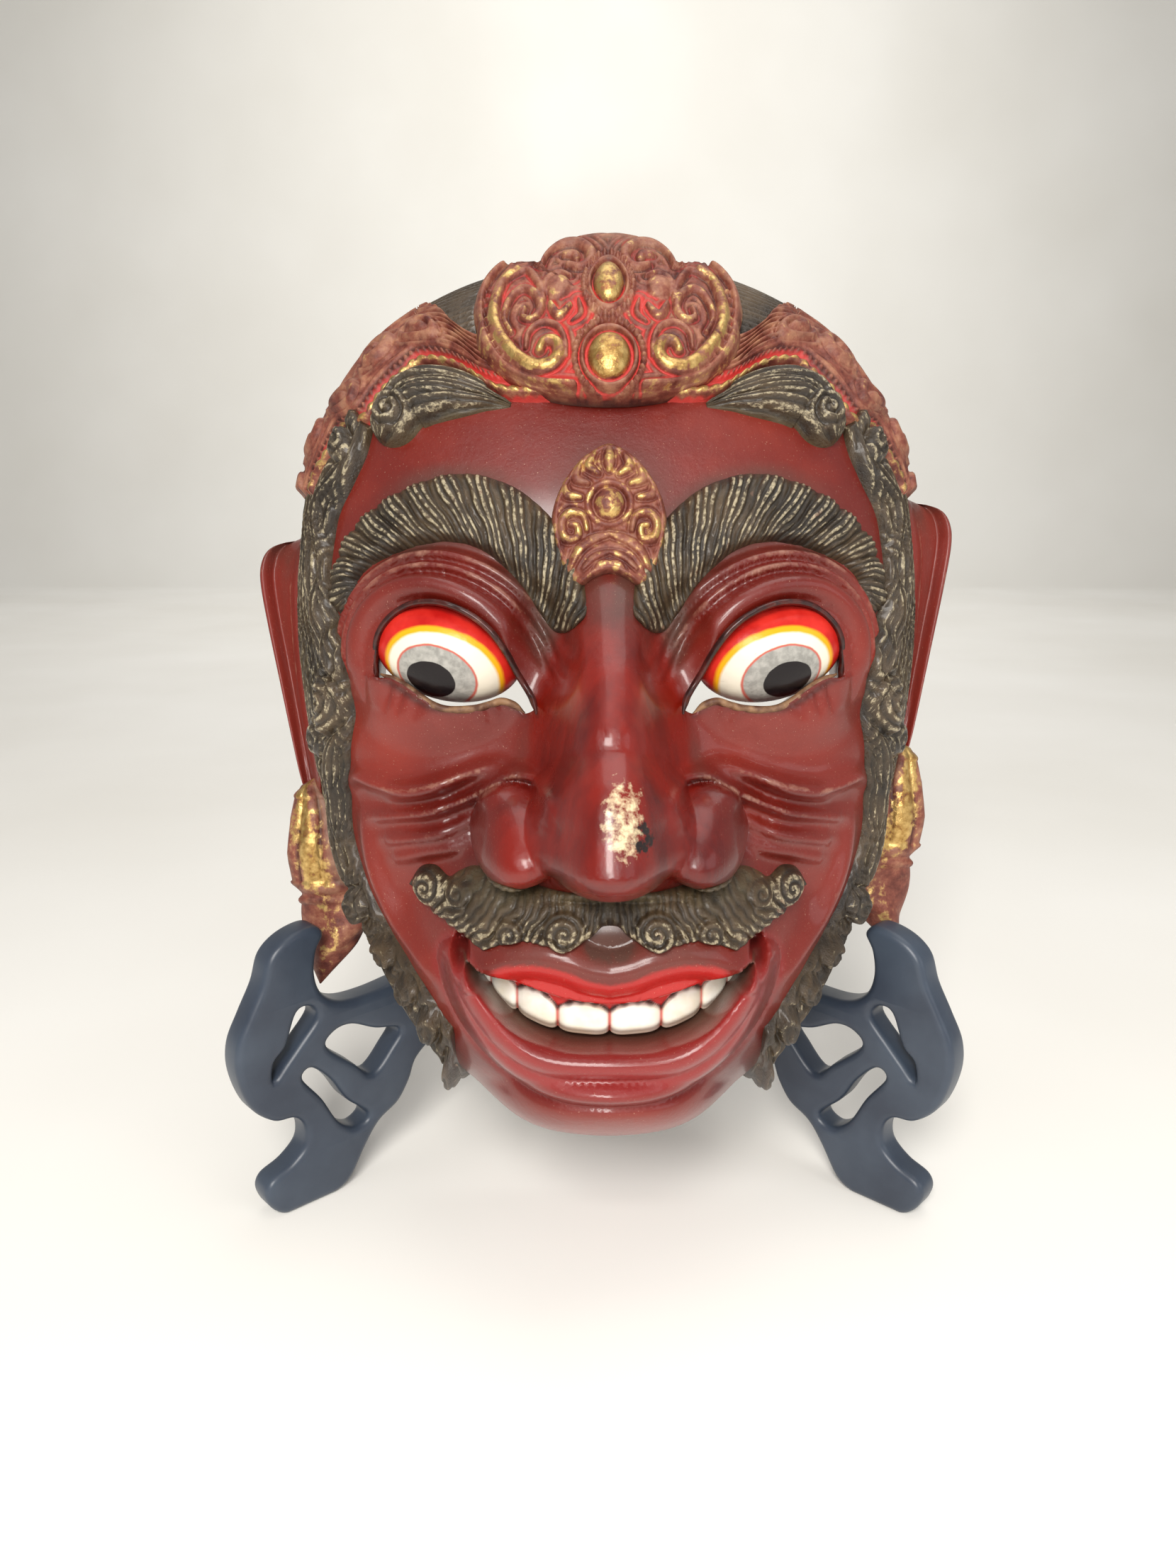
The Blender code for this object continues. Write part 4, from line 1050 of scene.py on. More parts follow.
# ---------------------------------------------------------------------------
# Brow jewel. A pointed shield carved in relief between the brows: rolled edge,
# round boss, two side curls and an arch; red bole with worn gold leaf over it.
# ---------------------------------------------------------------------------
gilt_mat, gilt = finish_of("worn_gilding")
raised = carved_mark(gilt_mat, "raised")
sunk = graded(gilt_mat, raised, 0.86, 0.30, 0.1, 0.6)
coral = patches(gilt_mat, 75.0, times(gilt_mat, sunk, carved_mark(gilt_mat, "bole")), 4.0)
crests = patches(gilt_mat, 260.0, times(gilt_mat, raised, 0.6), 4.0)
leaf = patches(gilt_mat, 380.0, times(gilt_mat, carved_mark(gilt_mat, "gold"), 0.8), 7.0)
leaf_colour = ramp(gilt_mat, noise(gilt_mat, 380.0, 3.0),
                   (0.35, srgb(158, 116, 56)), (0.65, srgb(226, 190, 122)))
dusty = patches(gilt_mat, 120.0, carved_mark(gilt_mat, "dust"), 2.5)
colour = ramp(gilt_mat, noise(gilt_mat, 190.0, 6.0, 0.65),
              (0.34, srgb(88, 34, 26)), (0.5, srgb(132, 70, 54)), (0.66, srgb(170, 116, 88)))
colour = coats(gilt_mat, colour,
               # painted shade, darkest in the recesses between the relief
               (srgb(58, 20, 16), graded(gilt_mat, raised, 0.75, 0.0, 0.02, 0.45)),
               (srgb(204, 62, 56), coral, 0.9),
               (srgb(172, 126, 98), crests, 0.6),
               (leaf_colour, leaf),
               (srgb(148, 120, 98), dusty, 0.55))
connect(gilt_mat, times(gilt_mat, leaf, graded(gilt_mat, dusty, 0.85, 0.25)), gilt, "Metallic")
finished(gilt_mat, gilt, colour, graded(gilt_mat, leaf, 0.5, 0.30),
         noise(gilt_mat, 700.0, 5.0, 0.65), 0.6, 0.0005)


def outline_disc(squares, outline, centre, lift, back_lift, relief, marks_of):
    """Front and back skins of a relief plate of any outline."""
    ring = flow(outline, 10, closed=True)
    ring_angle = np.unwrap(np.arctan2(ring[:, 1] - centre[1], ring[:, 0] - centre[0]))
    order = np.argsort(np.mod(ring_angle, 2 * math.pi))
    ring_angle, ring = np.mod(ring_angle, 2 * math.pi)[order], ring[order]
    reach = np.hypot(ring[:, 0] - centre[0], ring[:, 1] - centre[1])
    skins = []
    for count, is_front in ((squares, True), (max(squares // 6, 8), False)):
        bm, radius, angle = disc_grid(count)
        edge = np.interp(np.mod(angle, 2 * math.pi), ring_angle, reach, period=2 * math.pi)
        x, v = centre[0] + radius * edge * np.cos(angle), centre[1] + radius * edge * np.sin(angle)
        if is_front:
            points = lift(x, v, relief(x, v, radius))
            mark_verts(bm, marks_of(x, v, radius))
        else:
            points = lift(x, v, back_lift(radius))
            bmesh.ops.reverse_faces(bm, faces=bm.faces)
        move_verts(bm, points)
        skins.append(bm)
    return skins


def scrolled(x, v, strokes, pitch):
    """Height and gold of strokes (points, half width, height, gold), with veins between."""
    height, gold = np.zeros(np.shape(x)), np.zeros(np.shape(x))
    near = np.full(np.shape(x), 1e9)
    for points, width, lift, leaf in strokes:
        distance, along = stroke(x, v, points)
        fat = width * (0.55 + 0.45 * np.sin(np.pi * np.clip(along, 0.02, 0.98)))
        height = np.maximum(height, lift * roll(distance, fat, 0.6))
        gold = np.maximum(gold, leaf * ease(fat, fat * 0.55, distance))
        near = np.minimum(near, distance - fat)
    vein = np.abs(np.sin(np.pi * (near - 0.35) / pitch)) ** 0.8 * (near > 0.35)
    return np.maximum(height, 0.62 * vein), np.maximum(gold, 0.42 * vein)


JEWEL_HALF = [
    (0, 182.2), (3.8, 180.6), (7.6, 177.6), (11.6, 172.0), (14.0, 165.4), (14.2, 159.0),
    (12.8, 153.0), (10.2, 147.6), (7.6, 146.2), (4.0, 148.6), (0, 149.8)]
JEWEL_OUTLINE = [*JEWEL_HALF, *[(-x, v) for x, v in JEWEL_HALF[-2:0:-1]]]
JEWEL_STROKES = [
    ([(5.4, 159.6), (6.4, 163.0), (9.6, 163.8), (11.6, 161.2), (10.6, 157.8), (7.9, 157.8),
      (7.6, 160.4), (9.2, 160.8)], 1.25, 1.7, 1.0),
    ([(0, 158.6), (4.0, 157.4), (7.4, 154.8), (9.4, 150.8)], 1.3, 1.5, 0.9),
    ([(0, 154.4), (3.6, 153.2), (6.4, 150.4)], 0.9, 1.1, 0.7),
    ([(0, 174.4), (0, 180.0)], 1.5, 1.5, 1.0),
    ([(2.6, 173.4), (5.0, 175.6), (3.6, 178.8)], 1.3, 1.4, 1.0),
    ([(5.2, 171.0), (8.2, 172.6), (7.2, 176.2)], 1.3, 1.4, 1.0),
    ([(7.0, 167.6), (10.4, 168.6), (11.0, 172.0)], 1.2, 1.3, 0.9),
    ([(3.4, 149.6), (2.0, 151.4), (0, 151.8)], 1.0, 1.0, 0.8)]


def jewel_relief(x, v, radius):
    height = scrolled(np.abs(x), v, JEWEL_STROKES, 1.5)[0]
    boss = np.hypot(x, v - 166.0)
    height = np.maximum(height * ease(5.4, 6.4, boss), 2.8 * ball(x, v, (0, 166.0), (3.7, 3.9)))
    height = np.maximum(height, 1.4 * roll(boss - 5.2, 0.95, 0.6))
    rim = 1.3 * roll(radius - 0.93, 0.07, 0.6)
    return 4.4 * np.clip(1.0 - radius ** 10, 0, 1) ** 0.6 + np.maximum(height, rim) - 1.0


def jewel_marks(x, v, radius):
    height, gold = scrolled(np.abs(x), v, JEWEL_STROKES, 1.5)
    boss = np.hypot(x, v - 166.0)
    gold = np.maximum(gold, ease(0.2, 0.7, ball(x, v, (0, 166.0), (4.0, 4.2))))
    gold = np.maximum(gold, 0.85 * np.maximum(roll(radius - 0.93, 0.07, 0.6), roll(boss - 5.2, 0.95, 0.6)))
    gold = np.maximum(gold, 0.75 * ease(166, 176, v))
    return {"gold": np.maximum(0.74 * gold, 0.45), "raised": np.clip(height, 0.35, 1),
            "bole": 0.45, "dust": 0.1 + 0.4 * ease(0.9, 1.0, radius)}


skins = outline_disc(140, JEWEL_OUTLINE, (0.0, 164.0), on_face,
                     lambda radius: np.full(radius.shape, -4.0), jewel_relief, jewel_marks)
mask_piece("brow_jewel", joined_skins("brow_jewel", *skins), gilt_mat)


# ---------------------------------------------------------------------------
# Forelocks. A lock on each side of the forehead, combed out from under the
# crest and wound into a curl at its end; carved, painted and dry-brushed.
# ---------------------------------------------------------------------------
FORELOCK = [
    (24.6, 193.2, 0.8), (28.0, 194.2, 2.3), (32.0, 195.4, 4.2), (37.0, 196.2, 6.0),
    (42.0, 196.6, 7.2), (47.0, 196.3, 7.9), (51.5, 194.4, 7.6), (54.2, 190.6, 6.6)]
ROUND_STEPS = 24
centre, half, across, places = ribbon(FORELOCK, HAIR_STEP)
for k in range(1, ROUND_STEPS + 1):
    centre = np.vstack([centre, centre[-1] + (centre[-1] - centre[-2])])
    across = np.vstack([across, across[-1]])
    places = np.append(places, places[-1] + HAIR_STEP)
    half = np.vstack([half, [max(0.4, 6.6 * math.sqrt(1.0 - (k / ROUND_STEPS) ** 2))]])
step = np.linspace(-1.0, 1.0, 46)[None, :]
x = centre[:, :1] + across[:, :1] * step * half
v = centre[:, 1:] + across[:, 1:] * step * half
twist = 0.12 * places[:, None] * np.sin(step * 5)
ridge = strands(math.pi * 10.0 * step + 0.9 * waver(x, v, 4.0, 3.0) + twist)
clump = strands(math.pi * 3.2 * step + 0.6 * waver(x, v, 6.0, 1.0) + 0.16 * places[:, None])
swell = np.clip(1.0 - np.abs(step) ** 2.6, 0.0, 1.0) ** 0.6 * np.clip(half / 6.0, 0, 1) ** 0.7
height = 5.6 * swell - 0.9 + 2.4 * swell * ease(30, 50, x)
ridge, height = curls_over(x, v, ridge, height, ((54.0, 190.4, 5.2, -1),), 0.4, 0.4)
height = height + (1.15 * (ridge - 0.6) + 1.3 * (clump - 0.7)) * ease(0.05, 0.5, swell)
# The grooves between strands are darkened as painted shade.
marks = {"ridge": 0.9 * ridge * ease(0.1, 0.6, swell), "hollow": 1.0 - ridge,
         "dust": 0.3 + np.clip(1.0 - swell, 0, 1) ** 2, "comb": 5.0 * step, "along": places[:, None]}
mask_pair("forelock", on_face(x, v, height), buried(*place_of(x, v), 9), marks, hair_mat)


# ---------------------------------------------------------------------------
# Side hair and beard. Wavy locks run from the headband past each temple, wind
# into a curl by the ear and go on down the jaw as whiskers to the chin.
# ---------------------------------------------------------------------------
def run_inward(*steps):
    """Distance along each row from its first point."""
    along = np.cumsum(np.sqrt(sum(np.diff(step, axis=1) ** 2 for step in steps)), axis=1)
    return np.concatenate([np.zeros((len(along), 1)), along], axis=1)


STRIP_STEP, SIDE_HAIR = 0.42, 2.05
HAIR_EDGE = [
    (61.0, 191.5), (61.6, 187.5), (63.0, 182.0), (66.4, 175.0), (70.4, 168.0), (72.0, 161.0),
    (73.0, 153.0), (71.6, 145.0), (69.6, 138.0), (67.0, 130.5), (65.4, 122.0), (65.8, 113.8),
    (67.3, 103.4), (68.7, 92.8), (68.6, 84.0), (66.0, 75.6), (62.4, 67.3), (57.3, 59.6),
    (50.4, 53.0), (44.4, 46.4), (38.6, 38.4), (33.8, 29.6), (31.0, 24.4)]
SIDE_CURLS = [
    (12.0, 9.0, 4.2, 1), (77.0, 8.6, 7.2, 1), (84.0, 20.0, 5.5, -1), (141.0, 5.0, 4.0, -1),
    (151.0, 5.0, 3.6, 1), (160.5, 5.0, 3.8, -1), (172.0, 5.0, 3.8, 1), (183.0, 5.0, 3.6, -1),
    (128.0, 6.0, 4.4, 1)]
centre, _, _, places = ribbon(HAIR_EDGE, STRIP_STEP)
edge_radius, edge_angle = place_of(centre[:, 0], centre[:, 1])
outward = np.linspace(0.0, 1.0, 72)[None, :]
tuft = 0.012 * np.sin(places * 2 * math.pi / 7.5) * ease(150, 190, places)
edge_radius = edge_radius + 0.028 * ease(100, 130, places)
edge_radius = edge_radius + (0.99 - edge_radius) * ease(places[-1] - 16.0, places[-1], places)
radius = (edge_radius - tuft)[:, None] * (1.0 - outward) + 0.999 * outward
angle = edge_angle[:, None] + 0.0 * outward
out, lift, _, _ = dome(radius, angle)
distance = run_inward(out, lift)
length = places[:, None]
wave = 2.4 * np.sin(length / 5.6 + 0.05 * distance) + 1.0 * np.sin(length / 3.1 + 1.3)
run = distance + 3.4 * ease(0.0, 4.0, distance) + wave
ridge = strands(2 * math.pi * run / SIDE_HAIR + 0.8 * waver(length, distance, 5.0, 2.0))
lock = strands(2 * math.pi * (distance + 1.4 * wave) / 8.0)
swell = np.sqrt(1.0 - (1.0 - np.clip(distance / 6.5, 0.0, 1.0)) ** 2)
swell = swell * (0.45 + 0.55 * ease(15.0, 8.0, distance))
top_in, rear_in = ease(0.0, 4.0, length), ease(distance[:, -1:], distance[:, -1:] - 4.0, distance)
height = (4.6 * swell * top_in + 2.2 * (lock - 0.6) * swell) * rear_in - 0.7
ridge, height = curls_over(length, distance, ridge, height, SIDE_CURLS, 2.6 * top_in, 1.2, 0.8)
height = height + 1.15 * (ridge - 0.6) * ease(0.0, 1.4, distance) * rear_in
shaggy = ease(0.0, 0.8, distance) * (1.0 - 0.15 * ease(100, 130, length))
# The grooves between strands are darkened as painted shade.
marks = {"ridge": 0.88 * ridge * shaggy, "hollow": 1.0 - ridge,
         "dust": 0.2 + 0.4 * ease(18.0, 26.0, distance) * ease(150, 120, length),
         "comb": run / SIDE_HAIR, "along": length}
hair_back = buried(radius, angle, 14)
hair_back[:, -1, 2] = np.maximum(hair_back[:, -1, 2], 0.4)
mask_pair("side_hair", carved(radius, angle, height), hair_back, marks, hair_mat)


# ---------------------------------------------------------------------------
# Headband. A broad band that sweeps from the crest round to each ear, carved
# in low relief with volutes and beaded lines over a scalloped lower edge.
# ---------------------------------------------------------------------------
BAND_LOW = [
    (12.0, 193.6), (18.0, 193.4), (23.5, 193.8), (28.0, 195.2), (33.0, 198.8), (37.6, 201.9),
    (42.5, 203.9), (47.6, 204.3), (51.5, 201.4), (56.0, 197.6), (59.2, 193.4), (61.4, 190.6),
    (65.3, 189.6), (68.6, 189.4), (70.6, 186.6), (73.2, 182.4), (76.6, 178.4), (78.4, 173.0)]
BAND_TOP = [
    (12.0, 213.5), (22.0, 213.5), (30.0, 213.3), (34.6, 213.4), (38.2, 215.4), (41.6, 219.2),
    (44.6, 223.6), (47.6, 226.6), (50.5, 229.5)]
RIM_STEPS, RIM_RADIUS = 60, 0.9995
centre, _, _, places = ribbon(BAND_LOW, STRIP_STEP)
low_radius, low_angle = place_of(centre[:, 0], centre[:, 1])
top_curve = flow(BAND_TOP, 10)
rim_start = np.arctan2(top_curve[-1, 1] - MIDDLE, top_curve[-1, 0])
top_radius, top_angle = place_of(top_curve[:, 0], top_curve[:, 1])
high_radius = np.concatenate([top_radius, np.full(RIM_STEPS, RIM_RADIUS)])
high_angle = np.concatenate([top_angle, np.linspace(rim_start, low_angle[-1] - 0.03, RIM_STEPS)])
share = np.concatenate([np.linspace(0, 0.42, len(top_curve)), np.linspace(0.43, 1.0, RIM_STEPS)])
spread = np.linspace(0, 1, len(places))
high_radius, high_angle = np.interp(spread, share, high_radius), np.interp(spread, share, high_angle)
upward = np.linspace(0.0, 1.0, 110)[None, :]
radius = low_radius[:, None] * (1 - upward) + high_radius[:, None] * upward
angle = low_angle[:, None] * (1 - upward ** 1.2) + high_angle[:, None] * upward ** 1.2
distance = run_inward(*np.moveaxis(carved(radius, angle), -1, 0))
length = places[:, None]
total = distance[:, -1:]
scallop = np.abs(np.sin(math.pi * length / 3.0))
edge_ridge = roll(distance - 1.7 - 0.5 * scallop, 1.6, 0.7) * (0.65 + 0.35 * scallop)
bead = np.clip(np.sin(2 * math.pi * length / 1.7), 0, 1) ** 0.5 * roll(distance - 6.4, 0.8, 0.7)
cord = roll(distance - 8.6, 0.9, 0.7)
relief = 0.9 * np.maximum(edge_ridge, 0.75 * np.maximum(bead, cord))
gold = 0.95 * edge_ridge + 0.35 * bead
sweep = distance - 9.0 - 0.16 * length + 1.2 * np.sin(length / 5.0)
sweep = sweep + 0.5 * waver(length, distance, 5.0, 1.0)
ribs = np.abs(np.sin(math.pi * sweep / 2.7)) ** 0.7 * ease(8.6, 9.6, distance)
relief = np.maximum(relief, ribs * (1.1 * ease(40.0, 26.0, length) + 0.55 * ease(26.0, 40.0, length)))
gold = np.maximum(gold, 0.3 * ribs * (length > 0))
VOLUTE, VOLUTE_PITCH = 6.0, 12.5
for k in range(2, 8):
    s, d, hand = 10.0 + VOLUTE_PITCH * k, 15.5 + 3.0 * (k % 2), 2 * (k % 2) - 1
    wound, body, cover = curl(length, distance, (s, d), VOLUTE, hand, 4.2)
    relief = relief * (1 - cover) + cover * (1.2 * wound ** 0.8 + 1.1 * body)
    gold = gold * (1 - cover) + cover * 0.5 * wound ** 2
    ring = roll(np.hypot(length - s, distance - d) - VOLUTE - 1.1, 1.0, 0.7)
    relief = np.maximum(relief, 0.9 * ring)
for k in range(3):
    level = 25.0 + 4.2 * k + 2.0 * np.sin(length / 7.0 + k)
    relief = np.maximum(relief, 1.0 * roll(distance - level, 1.4, 0.7))
    gold = np.maximum(gold, 0.3 * roll(distance - level, 1.0, 0.7))
leafy = roll(np.abs(((length - 0.45 * distance) % 8.0) - 4.0), 1.3, 0.8) * ease(38, 42, distance)
relief = np.maximum(relief, 0.9 * leafy)
ends = ease(0, 1.5, length) * ease(places[-1], places[-1] - 1.5, length)
relief = 1.5 * relief * ease(total, total - 2.5, distance) * ends
height = 3.1 * ease(0.0, 1.4, distance) * ends - 0.6 + relief - 0.9 * peak(distance - 4.6, 0.9)
height = np.where(total - distance < 3.0, height * (total - distance) / 3.0, height)
marks = {"gold": np.clip(gold, 0, 1) * ease(total, total - 8, distance),
         "raised": np.clip(relief / 1.3, 0, 1), "dust": 0.15 + 0.4 * ease(12.0, 30.0, distance),
         "bole": 0.25 + 0.7 * ease(9.0, 4.0, distance) + 0.5 * ease(35, 10, length)}
band_back = buried(radius, angle, 22)
band_back[..., 2] = np.maximum(band_back[..., 2], 0.3)
mask_pair("headband", carved(radius, angle, height), band_back, marks, gilt_mat)


# ---------------------------------------------------------------------------
# Crown hair. What shows of the combed-back hair behind the crest, cut in
# coarse square steps that run down to the headband, painted greenish black.
# ---------------------------------------------------------------------------
CROWN_SPAN, CROWN_FRONT = 0.45, 0.56
hair_span = np.linspace(-CROWN_SPAN, CROWN_SPAN, 250)[:, None]
back_step = np.linspace(0.0, 1.0, 120)[None, :]
angle = math.pi / 2 - hair_span + 0.0 * back_step
radius = CROWN_FRONT * (1 - back_step) + RIM_RADIUS * back_step + 0.0 * hair_span
out, lift, _, _ = dome(radius, angle)
x, v = out * np.cos(angle), MIDDLE + out * np.sin(angle)
arc = run_inward(out, lift)
comb = v + 0.6 * (DEPTH - lift) + 0.22 * np.abs(x) + 0.5 * waver(x, arc, 9.0, 2.0)
tooth = (comb / 2.7) % 1.0
ridge = ease(0.0, 0.25, tooth) * ease(1.0, 0.55, tooth)
sides = ease(CROWN_SPAN, CROWN_SPAN - 0.02, np.abs(hair_span))
height = (1.4 + 2.3 * ridge) * ease(0.0, 0.04, back_step) * sides * ease(1.0, 0.97, back_step) - 0.6
# The grooves between the steps are darkened as painted shade.
marks = {"ridge": 0.45 * ridge, "hollow": 1.0 - ridge, "dust": 0.3, "comb": comb / 3.3, "along": x}
crown_back = buried(radius, angle, 17)
crown_back[..., 2] = np.maximum(crown_back[..., 2], 0.3)
crown = lofted("crown_hair", carved(radius, angle, height), crown_back, marks)
mask_piece("crown_hair", crown, hair_mat)


# ---------------------------------------------------------------------------
# Crest. A thick plaque of lobes that stands up in front of the hair: two
# cabochons in rings, volutes, and a crescent with a heavy rolled rim each side.
# ---------------------------------------------------------------------------
CREST_MIDDLE, CREST_THICK = (0.0, 216.0), 10.0
CREST_LOBES = [
    (0, 229.4, 18.8, 14.6), (25.2, 221.6, 9.7, 12.6), (-25.2, 221.6, 9.7, 12.6), (0, 213, 33.8, 19)]
CREST_STROKES = [
    ([(27.6, 232.4), (32.2, 226), (33.6, 219), (32.9, 212.5), (30.6, 206.4), (27, 201.4),
      (22.3, 198.2), (16, 196.2), (9, 195.4)], 2.1, 2.0, 0.6),
    ([(23.5, 229.2), (26.9, 226.4), (28.8, 221), (29.2, 215.5), (27.9, 210.5), (25.2, 206), (21.6, 202.2),
      (17.6, 200.4), (13.9, 201.2), (12.2, 204), (13.4, 206.9), (16.0, 207), (17.2, 204.8)], 2.2, 2.1, 0.9),
    ([(24.4, 210.4), (26.2, 214), (26.0, 218), (24.0, 222), (21.2, 223.3), (18.2, 221),
      (17.1, 217), (19, 213.9), (21.5, 214.5), (21.2, 216.9)], 1.25, 1.5, 0.68),
    ([(24.5, 227.6), (20.9, 229.4), (17.8, 225), (16.4, 219.5)], 1.2, 1.3, 0.5),
    ([(20.6, 205.8), (20, 210), (16.8, 212.6), (12.9, 211.4), (11.0, 207.5), (10.6, 203.0)], 1.0, 1.3, 0.5),
    ([(9.6, 226.4), (12.8, 227.9), (15.9, 225.6), (16.0, 221.6)], 1.0, 1.2, 0.5),
    ([(14.6, 217.9), (12.6, 214.4), (9.8, 217.2)], 1.4, 1.5, 0.7),
    ([(9.2, 212.6), (7.0, 215.0), (7.6, 219.0)], 0.9, 1.0, 0.15),
    ([(10.3, 229.9), (7, 229.3), (4.6, 231.5), (4.6, 235), (7.7, 238), (12.2, 237.7),
      (16, 234.6), (17.4, 230.2)], 1.6, 1.7, 0.55),
    ([(11.2, 233.6), (8.8, 233.6), (8.2, 231.4)], 1.6, 1.5, 0.7),
    ([(19.0, 231), (17.6, 237), (12.6, 241.9), (6, 244.2), (0, 245.0)], 1.3, 1.2, 0.4)]
CREST_TEETH = [(30.4, 224), (31.2, 218), (30.4, 212), (28.6, 207.4), (25.2, 203.2), (20.4, 199.8)]
SIDE_BOSS = (12.8, 223.2), (3.4, 3.8)


def lobed_reach(angle, centre, lobes):
    """Outline of several round lobes as a distance from the centre."""
    direction = np.stack([np.cos(angle), np.sin(angle)], axis=-1)
    best = np.full(np.shape(angle), 1.0)
    for lobe_x, lobe_v, radius_x, radius_v in lobes:
        offset = np.array([centre[0] - lobe_x, centre[1] - lobe_v]) / (radius_x, radius_v)
        d = direction / (radius_x, radius_v)
        a, b, c = (d * d).sum(-1), (d * offset).sum(-1), (offset * offset).sum() - 1.0
        root = b * b - a * c
        out = (-b + np.sqrt(np.clip(root, 0.0, None))) / a
        best = np.where(root > 0, np.maximum(best, out), best)
    return best


def crest_lift(x, v, rise):
    """The plaque's face, which leans back more and more as it rises."""
    up = v - 195.0
    w = 67.5 - 0.25 * up - 0.0068 * up ** 2 - 0.006 * x ** 2
    lean = 0.25 + 0.0136 * up
    slope = np.hypot(1.0, lean)
    return np.stack([x, v + rise * lean / slope, w + rise / slope], axis=-1)


def crest_rise(x, v):
    """Height and gold of the crest's ornament."""
    ax = np.abs(x)
    height, gold = scrolled(ax, v, CREST_STROKES, 1.75)
    side_boss = ball(ax, v, *SIDE_BOSS)
    height = np.maximum(height, 2.0 * side_boss)
    gold = np.maximum(gold, 0.6 * ease(0.2, 0.6, side_boss))
    for centre_v, half_x, half_v in ((202.8, 5.3, 6.2), (224.0, 3.9, 6.2)):
        narrow = 1.0 - 0.22 * ease(centre_v, centre_v + 2 * half_v, v) * (centre_v > 210)
        d = np.hypot(x / (half_x * narrow), (v - centre_v) / half_v)
        size = half_x * 1.1
        clear = ease(1.75, 1.6, d)
        height, gold = height * (1 - clear), gold * (1 - clear)
        height = np.maximum(height, 3.0 * np.sqrt(np.clip(1.0 - d ** 2.6, 0, 1)))
        ring_one = roll((d - 1.26) * size, 0.75, 0.6)
        ring_two = roll((d - 1.60) * size, 0.95, 0.6)
        beads = 0.75 + 0.25 * np.cos(np.arctan2(v - centre_v, x) * 34)
        height = np.maximum(height, np.maximum(1.5 * ring_one, 1.9 * ring_two * beads))
        gold = np.maximum(gold, ease(1.04, 0.95, d))
        gold = np.maximum(gold, 0.25 * np.maximum(ring_one, ring_two))
    nicks, along = stroke(ax, v, CREST_TEETH)
    teeth = roll(nicks, 1.1, 0.7) * np.clip(np.sin(along * 2 * math.pi * 11), 0, 1)
    return np.maximum(height, 1.3 * teeth), np.maximum(gold, 0.8 * teeth)


def crest_relief(x, v, radius):
    rise, _ = crest_rise(x, v)
    return 1.15 * rise * ease(1.0, 0.975, radius) - 2.5 * ease(0.9, 1.0, radius) ** 2


def crest_marks(x, v, radius):
    rise, gold = crest_rise(x, v)
    return {"gold": np.maximum(gold, 0.36) * (0.8 + 0.2 * ease(226, 200, v)),
            "raised": np.clip(rise / 1.3, 0, 1), "dust": 0.15 + 0.6 * ease(224, 240, v),
            "bole": 0.62 + 0.5 * mound(x, v, (0, 208), (26, 22))}


def crest_rear(radius):
    """How far behind its face the plaque's back lies, thinner round the edge."""
    return np.full(radius.shape, -CREST_THICK) + 1.5 * ease(0.9, 1.0, radius)


ring_angles = np.linspace(0, 2 * math.pi, 241)[:-1]
ring_reach = lobed_reach(ring_angles, CREST_MIDDLE, CREST_LOBES)
crest_outline = [(CREST_MIDDLE[0] + r * math.cos(a), CREST_MIDDLE[1] + r * math.sin(a))
                 for a, r in zip(ring_angles, ring_reach)]
skins = outline_disc(210, crest_outline, CREST_MIDDLE, crest_lift, crest_rear, crest_relief, crest_marks)
mask_piece("crest", joined_skins("crest", *skins), gilt_mat)


# ---------------------------------------------------------------------------
# Ears. Leaf-shaped and set back against the hair, cut from the same block,
# with a rolled edge and one inner fold; plain maroon lacquer, rubbed pale.
# ---------------------------------------------------------------------------
EAR_LOW, EAR_HIGH, RIGHT_SIDE_LIFT = 93.0, 74.0, 11.0
EAR_EDGE = [
    (0, 89.5), (0.1, 91.5), (0.4, 96.0), (0.7, 100.4), (0.84, 102.0), (0.91, 101.6),
    (0.96, 99.6), (0.99, 95.6), (1.0, 91.0)]
b = np.linspace(0.0, 1.0, 120)[:, None]
a = np.linspace(0.0, 1.0, 40)[None, :]
outer = height_of(EAR_EDGE, b)
inner = np.interp(b, [0, 0.5, 1.0], [82.0, 82.0, 83.0])
broad = outer - inner
x = inner + broad * a
w = 22.0 - 18.5 * a - 3.0 * np.sin(np.pi * a) + 3.5 * ease(0.8, 1.0, a)
fold = np.interp(b, [0, 0.15, 0.4, 0.6, 0.8, 0.92, 1.0], [0.35, 0.5, 0.55, 0.5, 0.42, 0.3, 0.2])
w = w + 1.6 * roll((a - 0.93) * broad, 1.9, 0.7) + 1.3 * roll((a - fold) * broad, 2.2, 0.9)
near_end = ease(0.0, 0.03, b) * ease(1.0, 0.97, b)
w = w - 2.0 * (1 - near_end)
rubbed = 0.8 * peak((a - fold - 0.12) * broad, 0.5) * ease(0.3, 0.6, b) * ease(1.0, 0.85, b)
marks = {"pale": rubbed + 0.5 * ease(0.9, 1.0, a), "haze": 0.85,
         "dust": 0.8 * ease(0.82, 1.0, b) + 0.3 * peak((a - fold - 0.25) * broad, 2.0)}
for side, word in SIDES:
    v = EAR_LOW + EAR_HIGH * b + 1.5 * np.sin(np.pi * a) * ease(0.88, 1.0, b) + RIGHT_SIDE_LIFT * (side > 0)
    front = np.stack([side * x, v, w], axis=-1)
    back = front[:, ::8].copy()
    back[..., 2] -= 5.0 - 3.0 * (1 - near_end)
    mask_piece(f"ear_{word}", lofted("ear", front, back, marks), lacquer_mat)


